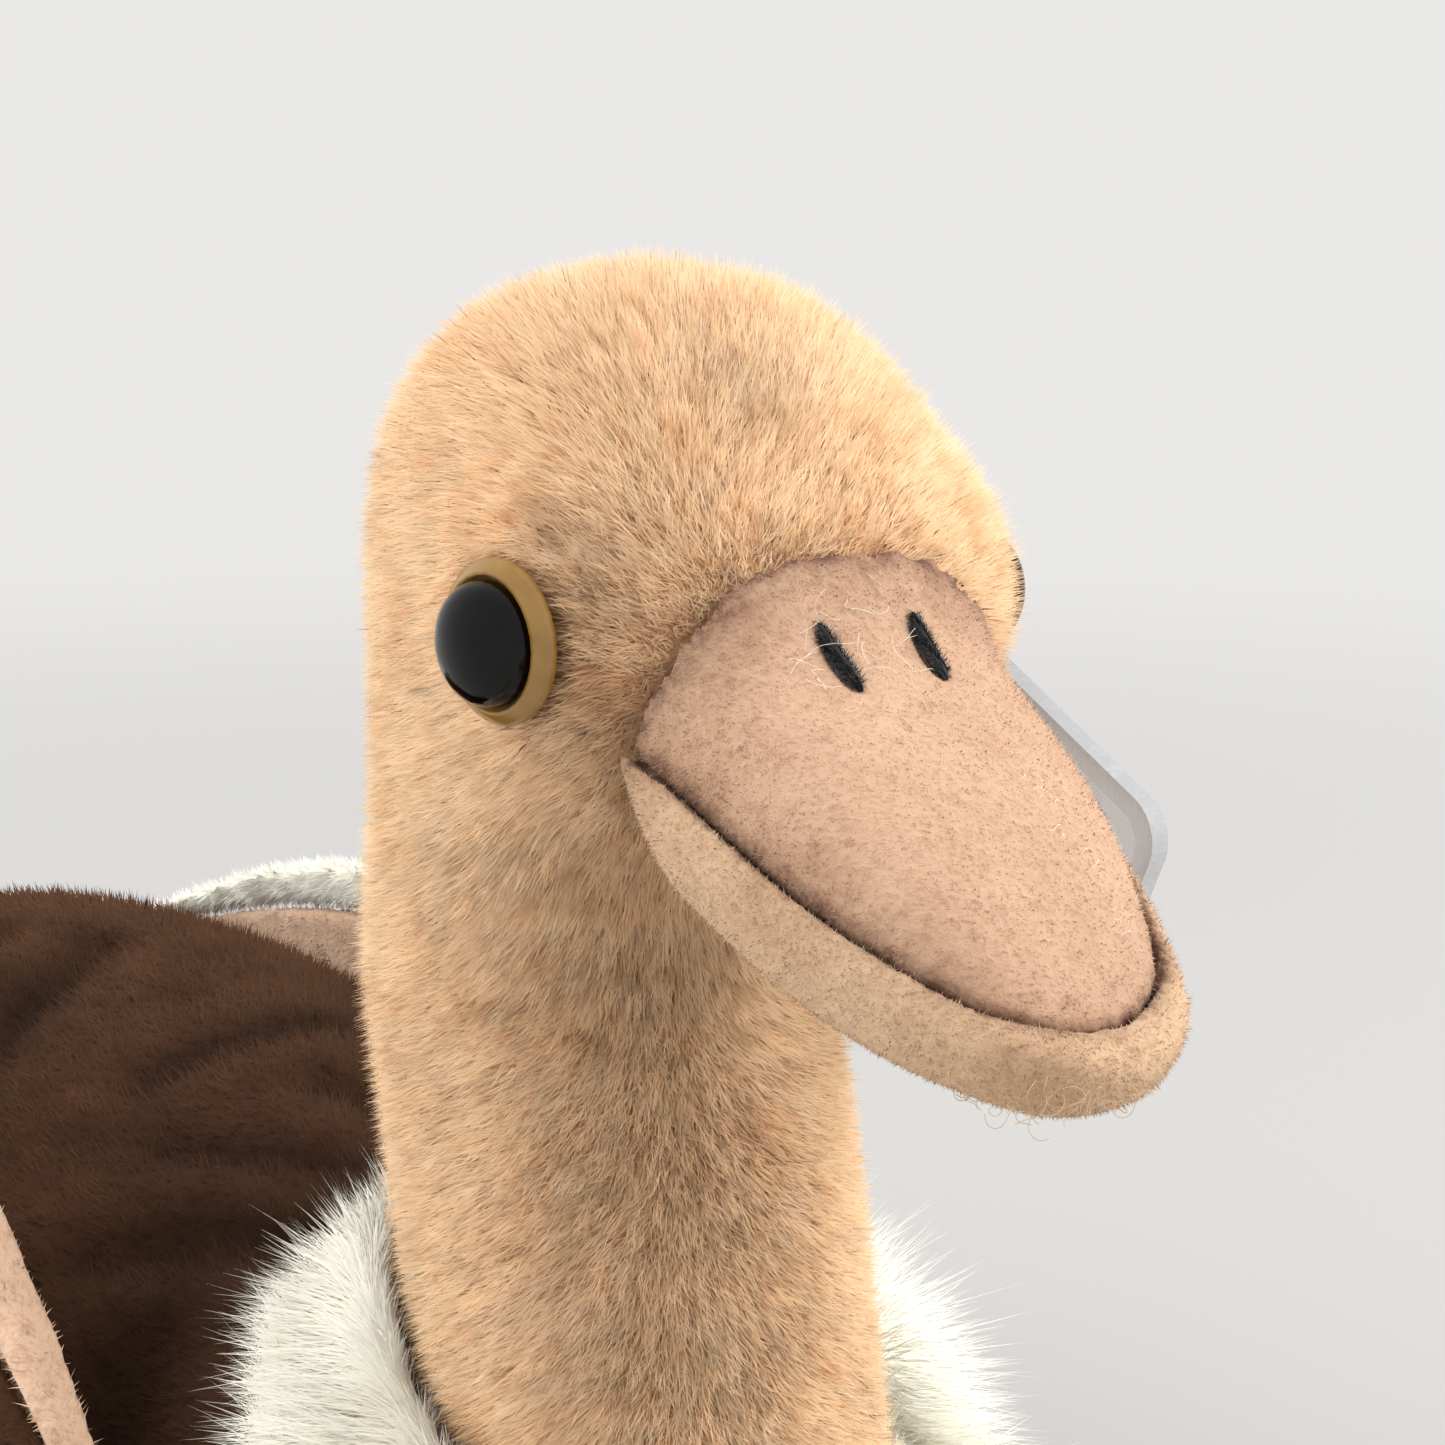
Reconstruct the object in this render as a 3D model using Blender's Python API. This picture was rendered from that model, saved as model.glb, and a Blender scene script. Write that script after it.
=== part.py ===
"""Plush ostrich that sits on its belly with its legs stretched forward.

It faces -Y and its left side is +X. The origin is the centre of the flat seat under the body.
Sizes are written in millimetres and turned into metres by MM.
"""
import math

import bmesh
import bpy
from mathutils import Matrix, Vector

MM = 0.001

# Clearance between two sewn or fitted pieces
SEAM_GAP = 0.3

# Body
BODY_LENGTH = 150.0
BODY_WIDTH = 82.0
BODY_RISE = 35.1
BODY_RUMP = 0.17
BODY_DROP = 41.0
BODY_CENTRE_Z = 36.5
BODY_FULLNESS = 2.35
FOLD_DEPTH = 2.2
FOLD_WIDTH = 3.4

# Neck, from its root in the shoulders to its top under the head
NECK_RADIUS = 17.2
NECK_ROOT_BEHIND_FRONT = 14.5
NECK_ROOT_Z = 43.0
NECK_HEIGHT = 46.0
NECK_LEAN = 8.8

# Head
HEAD_WIDTH = 38.6
HEAD_FRONT = 18.5
HEAD_BACK = 27.5
HEAD_RISE = 22.8
HEAD_ABOVE_NECK_TOP = 26.2
HEAD_AHEAD_OF_NECK = 12.3
FACE_SQUARENESS = 2.9
WIDEST_SHARE = 0.41
HEAD_TURN = math.radians(-9.0)

# Beak, measured along its lip plane from the corners of the mouth
BEAK_LENGTH = 31.5
BEAK_WIDTH = 26.8
BEAK_HEIGHT = 11.2
BEAK_UNDER = 6.4
BEAK_SLOPE = math.radians(24.5)
MOUTH_BEHIND_FACE = 5.2
MOUTH_BELOW_EYES = 5.9
LIP_RADIUS = 1.6
LIP_OUT = 1.35
PANEL_BULGE = 0.8

# Eyes with their stems and lock washers
EYE_RADIUS = 5.25
EYE_THICKNESS = 1.5
EYE_AHEAD = 6.8
EYE_ABOVE_HEAD_CENTRE = 0.5
EYE_TURN = math.radians(9.5)
EYE_SUNK = 0.9
EYE_EDGE = 0.35
PUPIL_SEAT_DEPTH = 0.55
PUPIL_RADIUS = 3.95
PUPIL_WALL = 0.45
PUPIL_DOME = 2.3
STEM_RADIUS = 1.6
STEM_LENGTH = 8.0
WASHER_RADIUS = 4.2
WASHER_THICKNESS = 1.2
WASHER_DEPTH = 4.2

# Nostril stitches
NOSTRIL_LENGTH = 5.2
NOSTRIL_WIDTH = 1.0
NOSTRIL_SPACING = 6.8
NOSTRIL_FROM_MOUTH = 5.1

# Collar of long pile round the neck's root
COLLAR_THICKNESS = 16.0
COLLAR_OUTSIDE_NECK = 4.8
COLLAR_BEHIND_ROOT = 2.0
COLLAR_ABOVE_ROOT = 6.0
COLLAR_TILT = math.radians(36.0)
COLLAR_TUFTS = 0.7

# Wings
WING_LENGTH = 117.0
WING_BEHIND_CHEST = 33.0
WING_OFF_BODY = 3.0
WING_HEIGHT = 42.0
WING_TOP_Z = 73.0
WING_LEAN = 7.0
WING_RIPPLE = 0.8
CLOTH = 1.5
TRIM_SHARE = 0.14
TRIM_START = 0.36

# Tail
TAIL_LENGTH = 24.0
TAIL_WIDTH = 34.0
TAIL_HEIGHT = 26.0
TAIL_Z = 46.0
TAIL_SUNK = 9.0
TAIL_LIFT = 9.0

# Legs and feet
LEG_SPREAD_HIP = 21.0
LEG_SPREAD_ANKLE = 37.0
LEG_REACH = 88.0
THIGH_RADIUS = 10.5
SHANK_RADIUS = 6.6
KNEE_RADIUS = 8.2
HIP_BEHIND_CHEST = 36.0
HIP_Z = 15.0
KNEE_Z = 12.5
ANKLE_Z = 8.2
FOOT_LENGTH = 34.0
FOOT_WIDTH = 17.0
FOOT_HEIGHT = 12.0
FOOT_TURN = math.radians(10.0)
HEEL_UNDER_LEG = 6.0
TOES_APART = 1.6

# Clear tag sleeve and its pin
SLEEVE_SIDE = 36.0
SLEEVE_DROP = 24.5
SLEEVE_THICKNESS = 0.8
SLEEVE_RIM = 1.3
SLEEVE_RIM_THICKNESS = 1.4
SLEEVE_RIM_SLOPE = 0.5
SLEEVE_CORNER = 3.2
SLEEVE_TURN = math.radians(25.2)
SLEEVE_OFF_NECK = 4.6
SLEEVE_PIN_INSET = 4.6
SLEEVE_RISE = 7.0
PIN_RADIUS = 0.6
PIN_KNOB = 2.2
PIN_KNOB_THICKNESS = 0.9
PIN_IN_NECK = 4.0
PIN_ABOVE_NECK_TOP = 9.0

ROUND = 24


# Places worked out from the sizes above
NECK_ROOT = Vector((0.0, -BODY_LENGTH / 2 + NECK_ROOT_BEHIND_FRONT, NECK_ROOT_Z))
NECK_TOP = NECK_ROOT + Vector((0.0, NECK_LEAN, NECK_HEIGHT))
HEAD_CENTRE = NECK_TOP + Vector((0.0, -HEAD_AHEAD_OF_NECK, HEAD_ABOVE_NECK_TOP))
MOUTH = HEAD_CENTRE + Vector((0.0, MOUTH_BEHIND_FACE - HEAD_FRONT, -MOUTH_BELOW_EYES))
BEAK_FORWARD = Vector((0.0, -math.cos(BEAK_SLOPE), -math.sin(BEAK_SLOPE)))
BEAK_UP = Vector((0.0, -math.sin(BEAK_SLOPE), math.cos(BEAK_SLOPE)))


def smooth(stations, x):
    """Read a smooth curve through (x, value) stations, flat beyond its ends."""
    if x <= stations[0][0]:
        return stations[0][1]
    if x >= stations[-1][0]:
        return stations[-1][1]
    slopes = []
    for index in range(len(stations)):
        before = stations[max(index - 1, 0)]
        after = stations[min(index + 1, len(stations) - 1)]
        slopes.append((after[1] - before[1]) / (after[0] - before[0]))
    for index in range(len(stations) - 1):
        x0, v0 = stations[index]
        x1, v1 = stations[index + 1]
        if x <= x1:
            span = x1 - x0
            t = (x - x0) / span
            start = v0 * (1 + 2 * t) * (1 - t) ** 2 + slopes[index] * span * t * (1 - t) ** 2
            end = v1 * t * t * (3 - 2 * t) + slopes[index + 1] * span * t * t * (t - 1)
            return start + end
    return stations[-1][1]


def power(value, exponent):
    """Raise to a power and keep the sign, for superellipse sections."""
    return math.copysign(abs(value) ** exponent, value)


def material(name, colour, roughness, transmission=0.0):
    shade = bpy.data.materials.get(name)
    if shade is None:
        shade = bpy.data.materials.new(name)
        shade.use_nodes = True
        surface = shade.node_tree.nodes["Principled BSDF"]
        surface.inputs["Base Color"].default_value = (*colour, 1.0)
        surface.inputs["Roughness"].default_value = roughness
        surface.inputs["Metallic"].default_value = 0.0
        surface.inputs["Transmission Weight"].default_value = transmission
    return shade


def peach_pile():
    return material("peach_pile", (0.72, 0.47, 0.27), 0.95)


def beak_felt():
    return material("beak_felt", (0.68, 0.44, 0.31), 0.95)


def brown_pile():
    return material("brown_pile", (0.07, 0.035, 0.02), 0.95)


def white_pile():
    return material("white_pile", (0.80, 0.78, 0.66), 0.95)


def amber_plastic():
    return material("amber_plastic", (0.46, 0.26, 0.06), 0.2)


def black_plastic():
    return material("black_plastic", (0.01, 0.01, 0.01), 0.08)


def black_thread():
    return material("black_thread", (0.012, 0.012, 0.014), 0.8)


def pale_plastic():
    return material("pale_plastic", (0.7, 0.7, 0.68), 0.4)


def clear_plastic():
    return material("clear_plastic", (0.8, 0.85, 0.9), 0.2, 0.8)


def finish(bm, name, shade, sharp=math.radians(50)):
    """Turn a bmesh in millimetres into a named, shaded object."""
    bmesh.ops.remove_doubles(bm, verts=bm.verts, dist=0.001)
    bmesh.ops.recalc_face_normals(bm, faces=bm.faces)
    bmesh.ops.scale(bm, vec=(MM, MM, MM), verts=bm.verts)
    mesh = bpy.data.meshes.new(name)
    bm.to_mesh(mesh)
    bm.free()
    mesh.shade_smooth()
    mesh.set_sharp_from_angle(angle=sharp)
    mesh.materials.append(shade)
    result = bpy.data.objects.new(name, mesh)
    bpy.context.scene.collection.objects.link(result)
    return result


def loft_bmesh(sections, segments=ROUND):
    """Skin a closed solid through sections, each a function from angle to a point."""
    bm = bmesh.new()
    loops = []
    for section in sections:
        first = len(bm.edges)
        circle = bmesh.ops.create_circle(bm, cap_ends=False, radius=1.0, segments=segments)
        bm.edges.ensure_lookup_table()
        loops.append(bm.edges[first:])
        for vert in circle["verts"]:
            vert.co = section(math.atan2(vert.co.y, vert.co.x))
    for lower, upper in zip(loops, loops[1:]):
        bmesh.ops.bridge_loops(bm, edges=lower + upper)
    bmesh.ops.edgeloop_fill(bm, edges=loops[0])
    bmesh.ops.edgeloop_fill(bm, edges=loops[-1])
    return bm


def loft(name, sections, shade, segments=ROUND):
    return finish(loft_bmesh(sections, segments), name, shade)


def turned(name, profile, place, shade, segments=ROUND):
    """Spin a (radius, height) profile, closed on its axis at both ends, about +Z and put it in place."""
    bm = bmesh.new()
    verts = [bm.verts.new((radius, 0.0, height)) for radius, height in profile]
    edges = [bm.edges.new(pair) for pair in zip(verts, verts[1:])]
    bmesh.ops.spin(bm, geom=verts + edges, cent=(0, 0, 0), axis=(0, 0, 1), angle=math.tau,
                   steps=segments, use_merge=True, use_duplicate=False)
    bmesh.ops.transform(bm, matrix=place, verts=bm.verts)
    return finish(bm, name, shade, math.radians(35))


def cut(piece, cutter):
    """Take the cutter's shape out of the piece and keep the cutter as a guide."""
    modifier = piece.modifiers.new("cut_" + cutter.name, "BOOLEAN")
    modifier.operation = "DIFFERENCE"
    modifier.solver = "EXACT"
    modifier.object = cutter
    cutter.hide_render = True
    cutter.display_type = "WIRE"


def join(piece, other):
    """Unite the other shape with the piece and keep the other as a guide."""
    modifier = piece.modifiers.new("join_" + other.name, "BOOLEAN")
    modifier.operation = "UNION"
    modifier.solver = "EXACT"
    modifier.object = other
    other.hide_render = True
    other.display_type = "WIRE"


def spaced(count):
    """Parameters from -1 to 1, closer together towards the ends."""
    return [-math.cos(math.pi * (index + 0.35) / (count - 0.3)) for index in range(count)]


# Body: sections along Y, with the folds of its cloth pressed in
FOLDS = (
    # Start and end as a share of the half length and an angle in degrees, then a share of the depth
    (-0.54, 92.0, -0.15, 168.0, 1.0),
    (-0.36, 88.0, 0.12, 150.0, 0.8),
    (0.03, 84.0, 0.51, 138.0, 0.9),
    (-0.54, 88.0, -0.15, 12.0, 1.0),
    (-0.36, 92.0, 0.12, 30.0, 0.8),
)


def fold_at(y, angle):
    """Depth of the cloth's folds at a place on the body."""
    around = BODY_WIDTH / 2
    half_length = BODY_LENGTH / 2
    depth = 0.0
    for y0, a0, y1, a1, share in FOLDS:
        start = Vector((y0 * half_length, math.radians(a0) * around))
        run = Vector((y1 * half_length, math.radians(a1) * around)) - start
        here = Vector((y, angle * around)) - start
        along = max(0.0, min(1.0, here.dot(run) / run.dot(run)))
        away = (here - run * along).length
        depth += FOLD_DEPTH * share * math.exp(-((away / FOLD_WIDTH) ** 2))
    return depth


def body_section(t, grow):
    """Section of the body; a grown one stays smooth, so that what rests on the cloth bridges its folds."""
    y = t * (BODY_LENGTH / 2 + grow)
    share = (1 - abs(t) ** BODY_FULLNESS) ** (1 / 2.1)
    half_width = share * (BODY_WIDTH / 2) + grow
    rise = share * (BODY_RISE + BODY_RUMP * y) + grow
    drop = share * BODY_DROP + grow

    def place(angle):
        across = power(math.cos(angle), 0.94)
        up = power(math.sin(angle), 0.94)
        fold = 1 - fold_at(y, angle % math.tau) / half_width if share > 0.3 and grow == 0 else 1.0
        return Vector((half_width * across * fold, y, BODY_CENTRE_Z + (rise if up > 0 else drop) * up * fold))

    return place


def body_solid(name, grow=0.0, rings=30):
    bm = loft_bmesh([body_section(t, grow) for t in spaced(rings)], 44)
    geometry = bm.verts[:] + bm.edges[:] + bm.faces[:]
    cut_edge = bmesh.ops.bisect_plane(bm, geom=geometry, plane_co=(0, 0, -grow), plane_no=(0, 0, -1),
                                      clear_outer=True)["geom_cut"]
    rim = [item for item in cut_edge if isinstance(item, bmesh.types.BMEdge)]
    bmesh.ops.edgeloop_fill(bm, edges=rim)
    return finish(bm, name, brown_pile())


def neck_head_profile():
    """Stations (height, front, widest place, back, half width, squareness) of the neck and head."""
    stations = []
    for share in (0.0, 0.25, 0.5, 0.75, 1.0):
        middle = NECK_ROOT.lerp(NECK_TOP, share)
        stations.append((middle.z, middle.y - NECK_RADIUS, middle.y, middle.y + NECK_RADIUS, NECK_RADIUS, 2.0))
    for share, front, back, width, square in (
        (-0.84, 0.38, 1.055, 0.905, 0.15),
        (-0.62, 0.57, 1.03, 0.93, 0.4),
        (-0.40, 0.757, 1.01, 0.96, 0.8),
        (-0.20, 0.89, 1.0, 0.985, 1.0),
        (0.0, 0.984, 1.0, 1.0, 1.0),
        (0.20, 0.925, 0.99, 0.995, 0.9),
        (0.45, 0.78, 0.95, 0.945, 0.6),
        (0.66, 0.58, 0.83, 0.835, 0.3),
        (0.82, 0.35, 0.67, 0.68, 0.1),
        (0.93, 0.09, 0.49, 0.47, 0.0),
        (1.0, -0.19, 0.25, 0.07, 0.0),
    ):
        first = HEAD_CENTRE.y - front * HEAD_FRONT
        last = HEAD_CENTRE.y + back * HEAD_BACK
        stations.append((HEAD_CENTRE.z + share * HEAD_RISE, first, first + WIDEST_SHARE * (last - first), last,
                         width * HEAD_WIDTH / 2, 2.0 + square * (FACE_SQUARENESS - 2.0)))
    return stations


def head_section(z, grow):
    stations = neck_head_profile()
    front, widest, back, half_width, square = (
        smooth([(station[0], station[column]) for station in stations], z) for column in range(1, 6))
    return front - grow, widest, back + grow, half_width + grow, square


def head_surface_x(y, z):
    """Half width of the head's surface at a place on its side."""
    front, widest, back, half_width, square = head_section(z, 0.0)
    if y < widest:
        return half_width * max(0.0, 1 - ((widest - y) / (widest - front)) ** square) ** (1 / square)
    return half_width * math.sqrt(max(0.0, 1 - ((y - widest) / (back - widest)) ** 2))


def head_neck_solid(name, grow=0.0):
    stations = neck_head_profile()
    low = stations[0][0] - grow
    high = stations[-1][0]
    heights = [low + (high - low) * share for share in
               (0.0, 0.07, 0.14, 0.21, 0.28, 0.35, 0.42, 0.48, 0.53, 0.565, 0.60, 0.635, 0.67,
                0.71, 0.75, 0.79, 0.83, 0.87, 0.905, 0.935, 0.96, 0.98, 0.993, 1.0)]

    def section(z):
        front, widest, back, half_width, square = head_section(z, grow)
        lift = grow if z == high else 0.0

        def place(angle):
            if math.sin(angle) < 0:
                x = half_width * power(math.cos(angle), 2 / square)
                y = widest - (widest - front) * abs(math.sin(angle)) ** (2 / square)
            else:
                x = half_width * math.cos(angle)
                y = widest + (back - widest) * math.sin(angle)
            return Vector((x, y, z + lift))

        return place

    return loft(name, [section(z) for z in heights], peach_pile(), 30)


def beak_half_width(s):
    """Half width of the stitched edge of the top panel, from the mouth's corners to the tip."""
    share = s / BEAK_LENGTH
    shape = smooth(((-0.6, 1.03), (-0.2, 1.03), (0.0, 1.0), (0.16, 0.955), (0.32, 0.918), (0.48, 0.858),
                    (0.64, 0.76), (0.78, 0.63), (0.88, 0.51), (0.94, 0.385), (0.98, 0.24), (1.0, 0.07)), share)
    return BEAK_WIDTH / 2 * shape


def beak_height(s):
    """Height of the top panel above its stitched edge."""
    share = s / BEAK_LENGTH
    shape = smooth(((-0.6, 1.2), (-0.2, 1.17), (0.0, 1.04), (0.08, 0.88), (0.16, 0.78), (0.32, 0.71), (0.48, 0.63),
                    (0.64, 0.52), (0.79, 0.37), (0.92, 0.2), (0.98, 0.09), (1.0, 0.03)), share)
    return BEAK_HEIGHT * shape


def beak_point(x, s, h):
    return MOUTH + BEAK_FORWARD * s + BEAK_UP * h + Vector((x, 0.0, 0.0))


def upper_beak_section(s):
    half_width = beak_half_width(s)
    height = beak_height(s)

    def place(angle):
        x = half_width * power(math.cos(angle), 0.8)
        if math.sin(angle) > 0:
            x += PANEL_BULGE * math.sin(2 * angle) * half_width / (BEAK_WIDTH / 2)
            h = SEAM_GAP / 2 + height * math.sin(angle) ** 0.9
        else:
            h = SEAM_GAP / 2
        return beak_point(x, s, h)

    return place


def upper_beak_solid(name):
    shares = (-0.45, -0.3, -0.15, 0.0, 0.08, 0.16, 0.26, 0.36, 0.46, 0.56, 0.66, 0.75, 0.83, 0.9, 0.95, 0.98, 1.0)
    return loft(name, [upper_beak_section(share * BEAK_LENGTH) for share in shares], beak_felt(), 28)


def lip_swell(s):
    """The lip starts at the corner of the mouth and is full from a fifth of the way."""
    return smooth(((-0.1, 0.0), (0.0, 0.25), (0.12, 0.8), (0.22, 1.0), (1.2, 1.0)), s / BEAK_LENGTH)


def lip_half_width(s):
    """Half width of the under half at the outside of its lips, which run round the tip."""
    share = s / (BEAK_LENGTH + 2 * LIP_RADIUS)
    return (1 + LIP_OUT * LIP_RADIUS * lip_swell(s) / (BEAK_WIDTH / 2)) * beak_half_width(share * BEAK_LENGTH)


def lower_beak_section(s):
    """Under half: a rounded keel with a thick rounded edge."""
    share = s / (BEAK_LENGTH + 2 * LIP_RADIUS)
    outer = lip_half_width(s)
    lip = min(LIP_RADIUS * lip_swell(s), outer * 0.3)
    keel = BEAK_UNDER * smooth(((-0.6, 1.3), (0.0, 1.3), (0.3, 1.25), (0.5, 1.15), (0.7, 0.92), (0.85, 0.62),
                                (0.93, 0.45), (0.98, 0.3), (1.0, 0.1)), share)

    # Half outline from the middle of the top, over the lip and down to the middle of the keel
    outline = ((0.0, lip), ((outer - 2.2 * lip) * 0.5, lip), (outer - 2.2 * lip, lip), (outer - 1.4 * lip, lip),
               (outer - 0.8 * lip, lip * 0.9), (outer - 0.3 * lip, lip * 0.55), (outer, -lip * 0.15),
               (outer - 0.15 * lip, -lip), (outer * 0.93, -lip - keel * 0.22), (outer * 0.83, -lip - keel * 0.52),
               (outer * 0.62, -lip - keel * 0.83), (outer * 0.3, -lip - keel * 0.97), (0.0, -lip - keel))
    points = list(outline) + [(-x, h) for x, h in outline[1:-1]][::-1]

    def place(angle):
        x, h = points[round(angle / math.tau * len(points)) % len(points)]
        return beak_point(x, s, h)

    return place


def lower_beak_solid(name):
    length = BEAK_LENGTH + 2 * LIP_RADIUS
    shares = (-0.41, -0.27, -0.13, 0.0, 0.06, 0.12, 0.2, 0.32, 0.44, 0.55, 0.65, 0.74, 0.82, 0.88, 0.93, 0.965,
              0.985, 1.0)
    return loft(name, [lower_beak_section(share * length) for share in shares], peach_pile(), 24)


def tray_cutter(name):
    """Seat that the top panel takes out of the under half, open upward between the lips."""
    floor = -SEAM_GAP / 2
    shares = (-0.6, -0.3, 0.0, 0.1, 0.2, 0.32, 0.44, 0.56, 0.66, 0.75, 0.83, 0.9, 0.95, 0.98,
              1.0 + SEAM_GAP / BEAK_LENGTH)

    def section(s):
        low = beak_half_width(s) + SEAM_GAP
        high = low + 0.6 * LIP_RADIUS
        corners = ((high, 2 * LIP_RADIUS), (-high, 2 * LIP_RADIUS), (-low, floor), (low, floor))

        def place(angle):
            x, h = corners[round(angle / math.tau * 4) % 4]
            return beak_point(x, s, h)

        return place

    return loft(name, [section(share * BEAK_LENGTH) for share in shares], beak_felt(), 4)


def eye_place(side):
    """Frame on the head's side whose +Z points out of the eye."""
    y = HEAD_CENTRE.y - EYE_AHEAD
    z = HEAD_CENTRE.z + EYE_ABOVE_HEAD_CENTRE
    x = head_surface_x(y, z) - EYE_SUNK
    outward = Vector((side * math.cos(EYE_TURN), -math.sin(EYE_TURN), 0.0))
    up = Vector((0.0, 0.0, 1.0))
    across = up.cross(outward)
    frame = Matrix((across, up, outward)).transposed().to_4x4()
    return Matrix.Translation((side * x, y, z)) @ frame


def eye(side, tag):
    """Amber disc with a recess for the pupil and a stem that goes into the head."""
    recess = EYE_THICKNESS - PUPIL_SEAT_DEPTH
    rim = EYE_RADIUS
    seat = PUPIL_RADIUS + SEAM_GAP
    profile = ((0.0, -STEM_LENGTH), (STEM_RADIUS * 0.7, -STEM_LENGTH),
               (STEM_RADIUS, STEM_RADIUS / 2 - STEM_LENGTH), (STEM_RADIUS, 0.0), (rim - EYE_EDGE, 0.0),
               (rim - EYE_EDGE * 0.15, EYE_THICKNESS * 0.17), (rim, EYE_THICKNESS * 0.37),
               (rim - EYE_EDGE * 0.35, EYE_THICKNESS * 0.57), (rim - EYE_EDGE * 1.3, EYE_THICKNESS * 0.7),
               (seat + EYE_EDGE * 0.7, EYE_THICKNESS * 0.93), (seat, EYE_THICKNESS), (seat, recess), (0.0, recess))
    return turned(tag + "_eye", profile, eye_place(side), amber_plastic(), 28)


def pupil(side, tag):
    base = EYE_THICKNESS - PUPIL_SEAT_DEPTH + SEAM_GAP
    rise = [(math.cos(t) * PUPIL_RADIUS, base + PUPIL_WALL + math.sin(t) * PUPIL_DOME)
            for t in (0.0, 0.25, 0.5, 0.75, 1.0, 1.25, 1.42)]
    profile = [(0.0, base), (PUPIL_RADIUS, base)] + rise + [(0.0, base + PUPIL_WALL + PUPIL_DOME)]
    return turned(tag + "_pupil", profile, eye_place(side), black_plastic(), 28)


def washer(side, tag):
    """Toothed washers are pressed on the stem from inside the skin."""
    top = -WASHER_DEPTH
    bottom = top - WASHER_THICKNESS
    hole = STEM_RADIUS + SEAM_GAP
    bm = bmesh.new()
    verts = [bm.verts.new((r, 0.0, h)) for r, h in
             ((hole, bottom), (WASHER_RADIUS, bottom), (WASHER_RADIUS, top), (hole, top))]
    edges = [bm.edges.new((verts[i], verts[(i + 1) % 4])) for i in range(4)]
    bmesh.ops.spin(bm, geom=verts + edges, cent=(0, 0, 0), axis=(0, 0, 1), angle=math.tau,
                   steps=20, use_merge=True, use_duplicate=False)
    bmesh.ops.transform(bm, matrix=eye_place(side), verts=bm.verts)
    return finish(bm, tag + "_eye_washer", pale_plastic(), math.radians(35))


def eye_cutter(side, tag):
    """Seat of the disc, hole of the stem and pocket of the washer in one turned shape."""
    gap = SEAM_GAP
    profile = ((0.0, -STEM_LENGTH - gap), (STEM_RADIUS + gap, -STEM_LENGTH - gap),
               (STEM_RADIUS + gap, -WASHER_DEPTH - WASHER_THICKNESS - gap),
               (WASHER_RADIUS + gap, -WASHER_DEPTH - WASHER_THICKNESS - gap),
               (WASHER_RADIUS + gap, -WASHER_DEPTH + gap), (STEM_RADIUS + gap, -WASHER_DEPTH + gap),
               (STEM_RADIUS + gap, -gap), (EYE_RADIUS + gap, -gap), (EYE_RADIUS + gap, EYE_RADIUS),
               (0.0, EYE_RADIUS))
    return turned(tag + "_eye_cutter", profile, eye_place(side), peach_pile(), 28)


def nostril(side, name, grow=0.0):
    """Satin-stitched bar that lies half in the felt."""
    x = side * NOSTRIL_SPACING / 2
    radius = NOSTRIL_WIDTH / 2 + grow

    def section(t):
        s = NOSTRIL_FROM_MOUTH + t * (NOSTRIL_LENGTH / 2 + grow)
        share = abs(x) / beak_half_width(s)
        arch = (1 - share ** 2.5) ** 0.45
        h = SEAM_GAP / 2 + beak_height(s) * arch + NOSTRIL_WIDTH * 0.05
        girth = math.sqrt(max(0.0, 1 - abs(t) ** 3)) * radius + NOSTRIL_WIDTH * 0.02

        def place(angle):
            return beak_point(x * (1 - 0.05 * t) + girth * math.cos(angle), s, h + girth * math.sin(angle))

        return place

    return loft(name, [section(t) for t in (-1.0, -0.9, -0.6, 0.0, 0.6, 0.9, 1.0)], black_thread(), 10)


def collar_solid(name):
    """Fat ring of pile round the neck's root, tilted with the shoulders."""
    half = COLLAR_THICKNESS / 2
    middle = NECK_ROOT + Vector((0.0, COLLAR_BEHIND_ROOT, COLLAR_ABOVE_ROOT))
    reach = NECK_RADIUS + COLLAR_OUTSIDE_NECK
    tilt = Matrix.Rotation(COLLAR_TILT, 4, "X")
    bm = bmesh.new()
    circle = bmesh.ops.create_circle(bm, cap_ends=False, radius=1.0, segments=14)
    for vert in circle["verts"]:
        angle = math.atan2(vert.co.y, vert.co.x)
        vert.co = Vector((reach + half * math.cos(angle), 0.0, half * 0.9 * math.sin(angle)))
    bmesh.ops.spin(bm, geom=bm.verts[:] + bm.edges[:], cent=(0, 0, 0), axis=(0, 0, 1), angle=math.tau,
                   steps=32, use_merge=True, use_duplicate=False)
    for vert in bm.verts:
        turn = math.atan2(vert.co.y, vert.co.x)
        vert.co.z += COLLAR_TUFTS * (math.sin(7 * turn) + 0.7 * math.sin(11 * turn + 1.0))
    bmesh.ops.transform(bm, matrix=Matrix.Translation(middle) @ tilt, verts=bm.verts)
    return finish(bm, name, white_pile())


def tail_solid(name):
    """Tuft that fans up and back, with three soft lobes."""
    root = Vector((0.0, BODY_LENGTH / 2 - TAIL_SUNK, TAIL_Z))

    def section(t):
        share = smooth(((0.0, 0.72), (0.35, 0.95), (0.65, 1.0), (0.85, 0.8), (0.95, 0.5), (1.0, 0.12)), t)
        centre = root + Vector((0.0, t * (TAIL_LENGTH + TAIL_SUNK), TAIL_LIFT * t * t))

        def place(angle):
            lobe = 1 + 0.10 * math.cos(3 * angle - math.pi / 2) * t
            return centre + Vector((TAIL_WIDTH / 2 * share * lobe * math.cos(angle), 0.0,
                                    TAIL_HEIGHT / 2 * share * lobe * math.sin(angle)))

        return place

    return loft(name, [section(t) for t in (0.0, 0.2, 0.4, 0.6, 0.75, 0.87, 0.95, 1.0)], white_pile(), 18)


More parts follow.
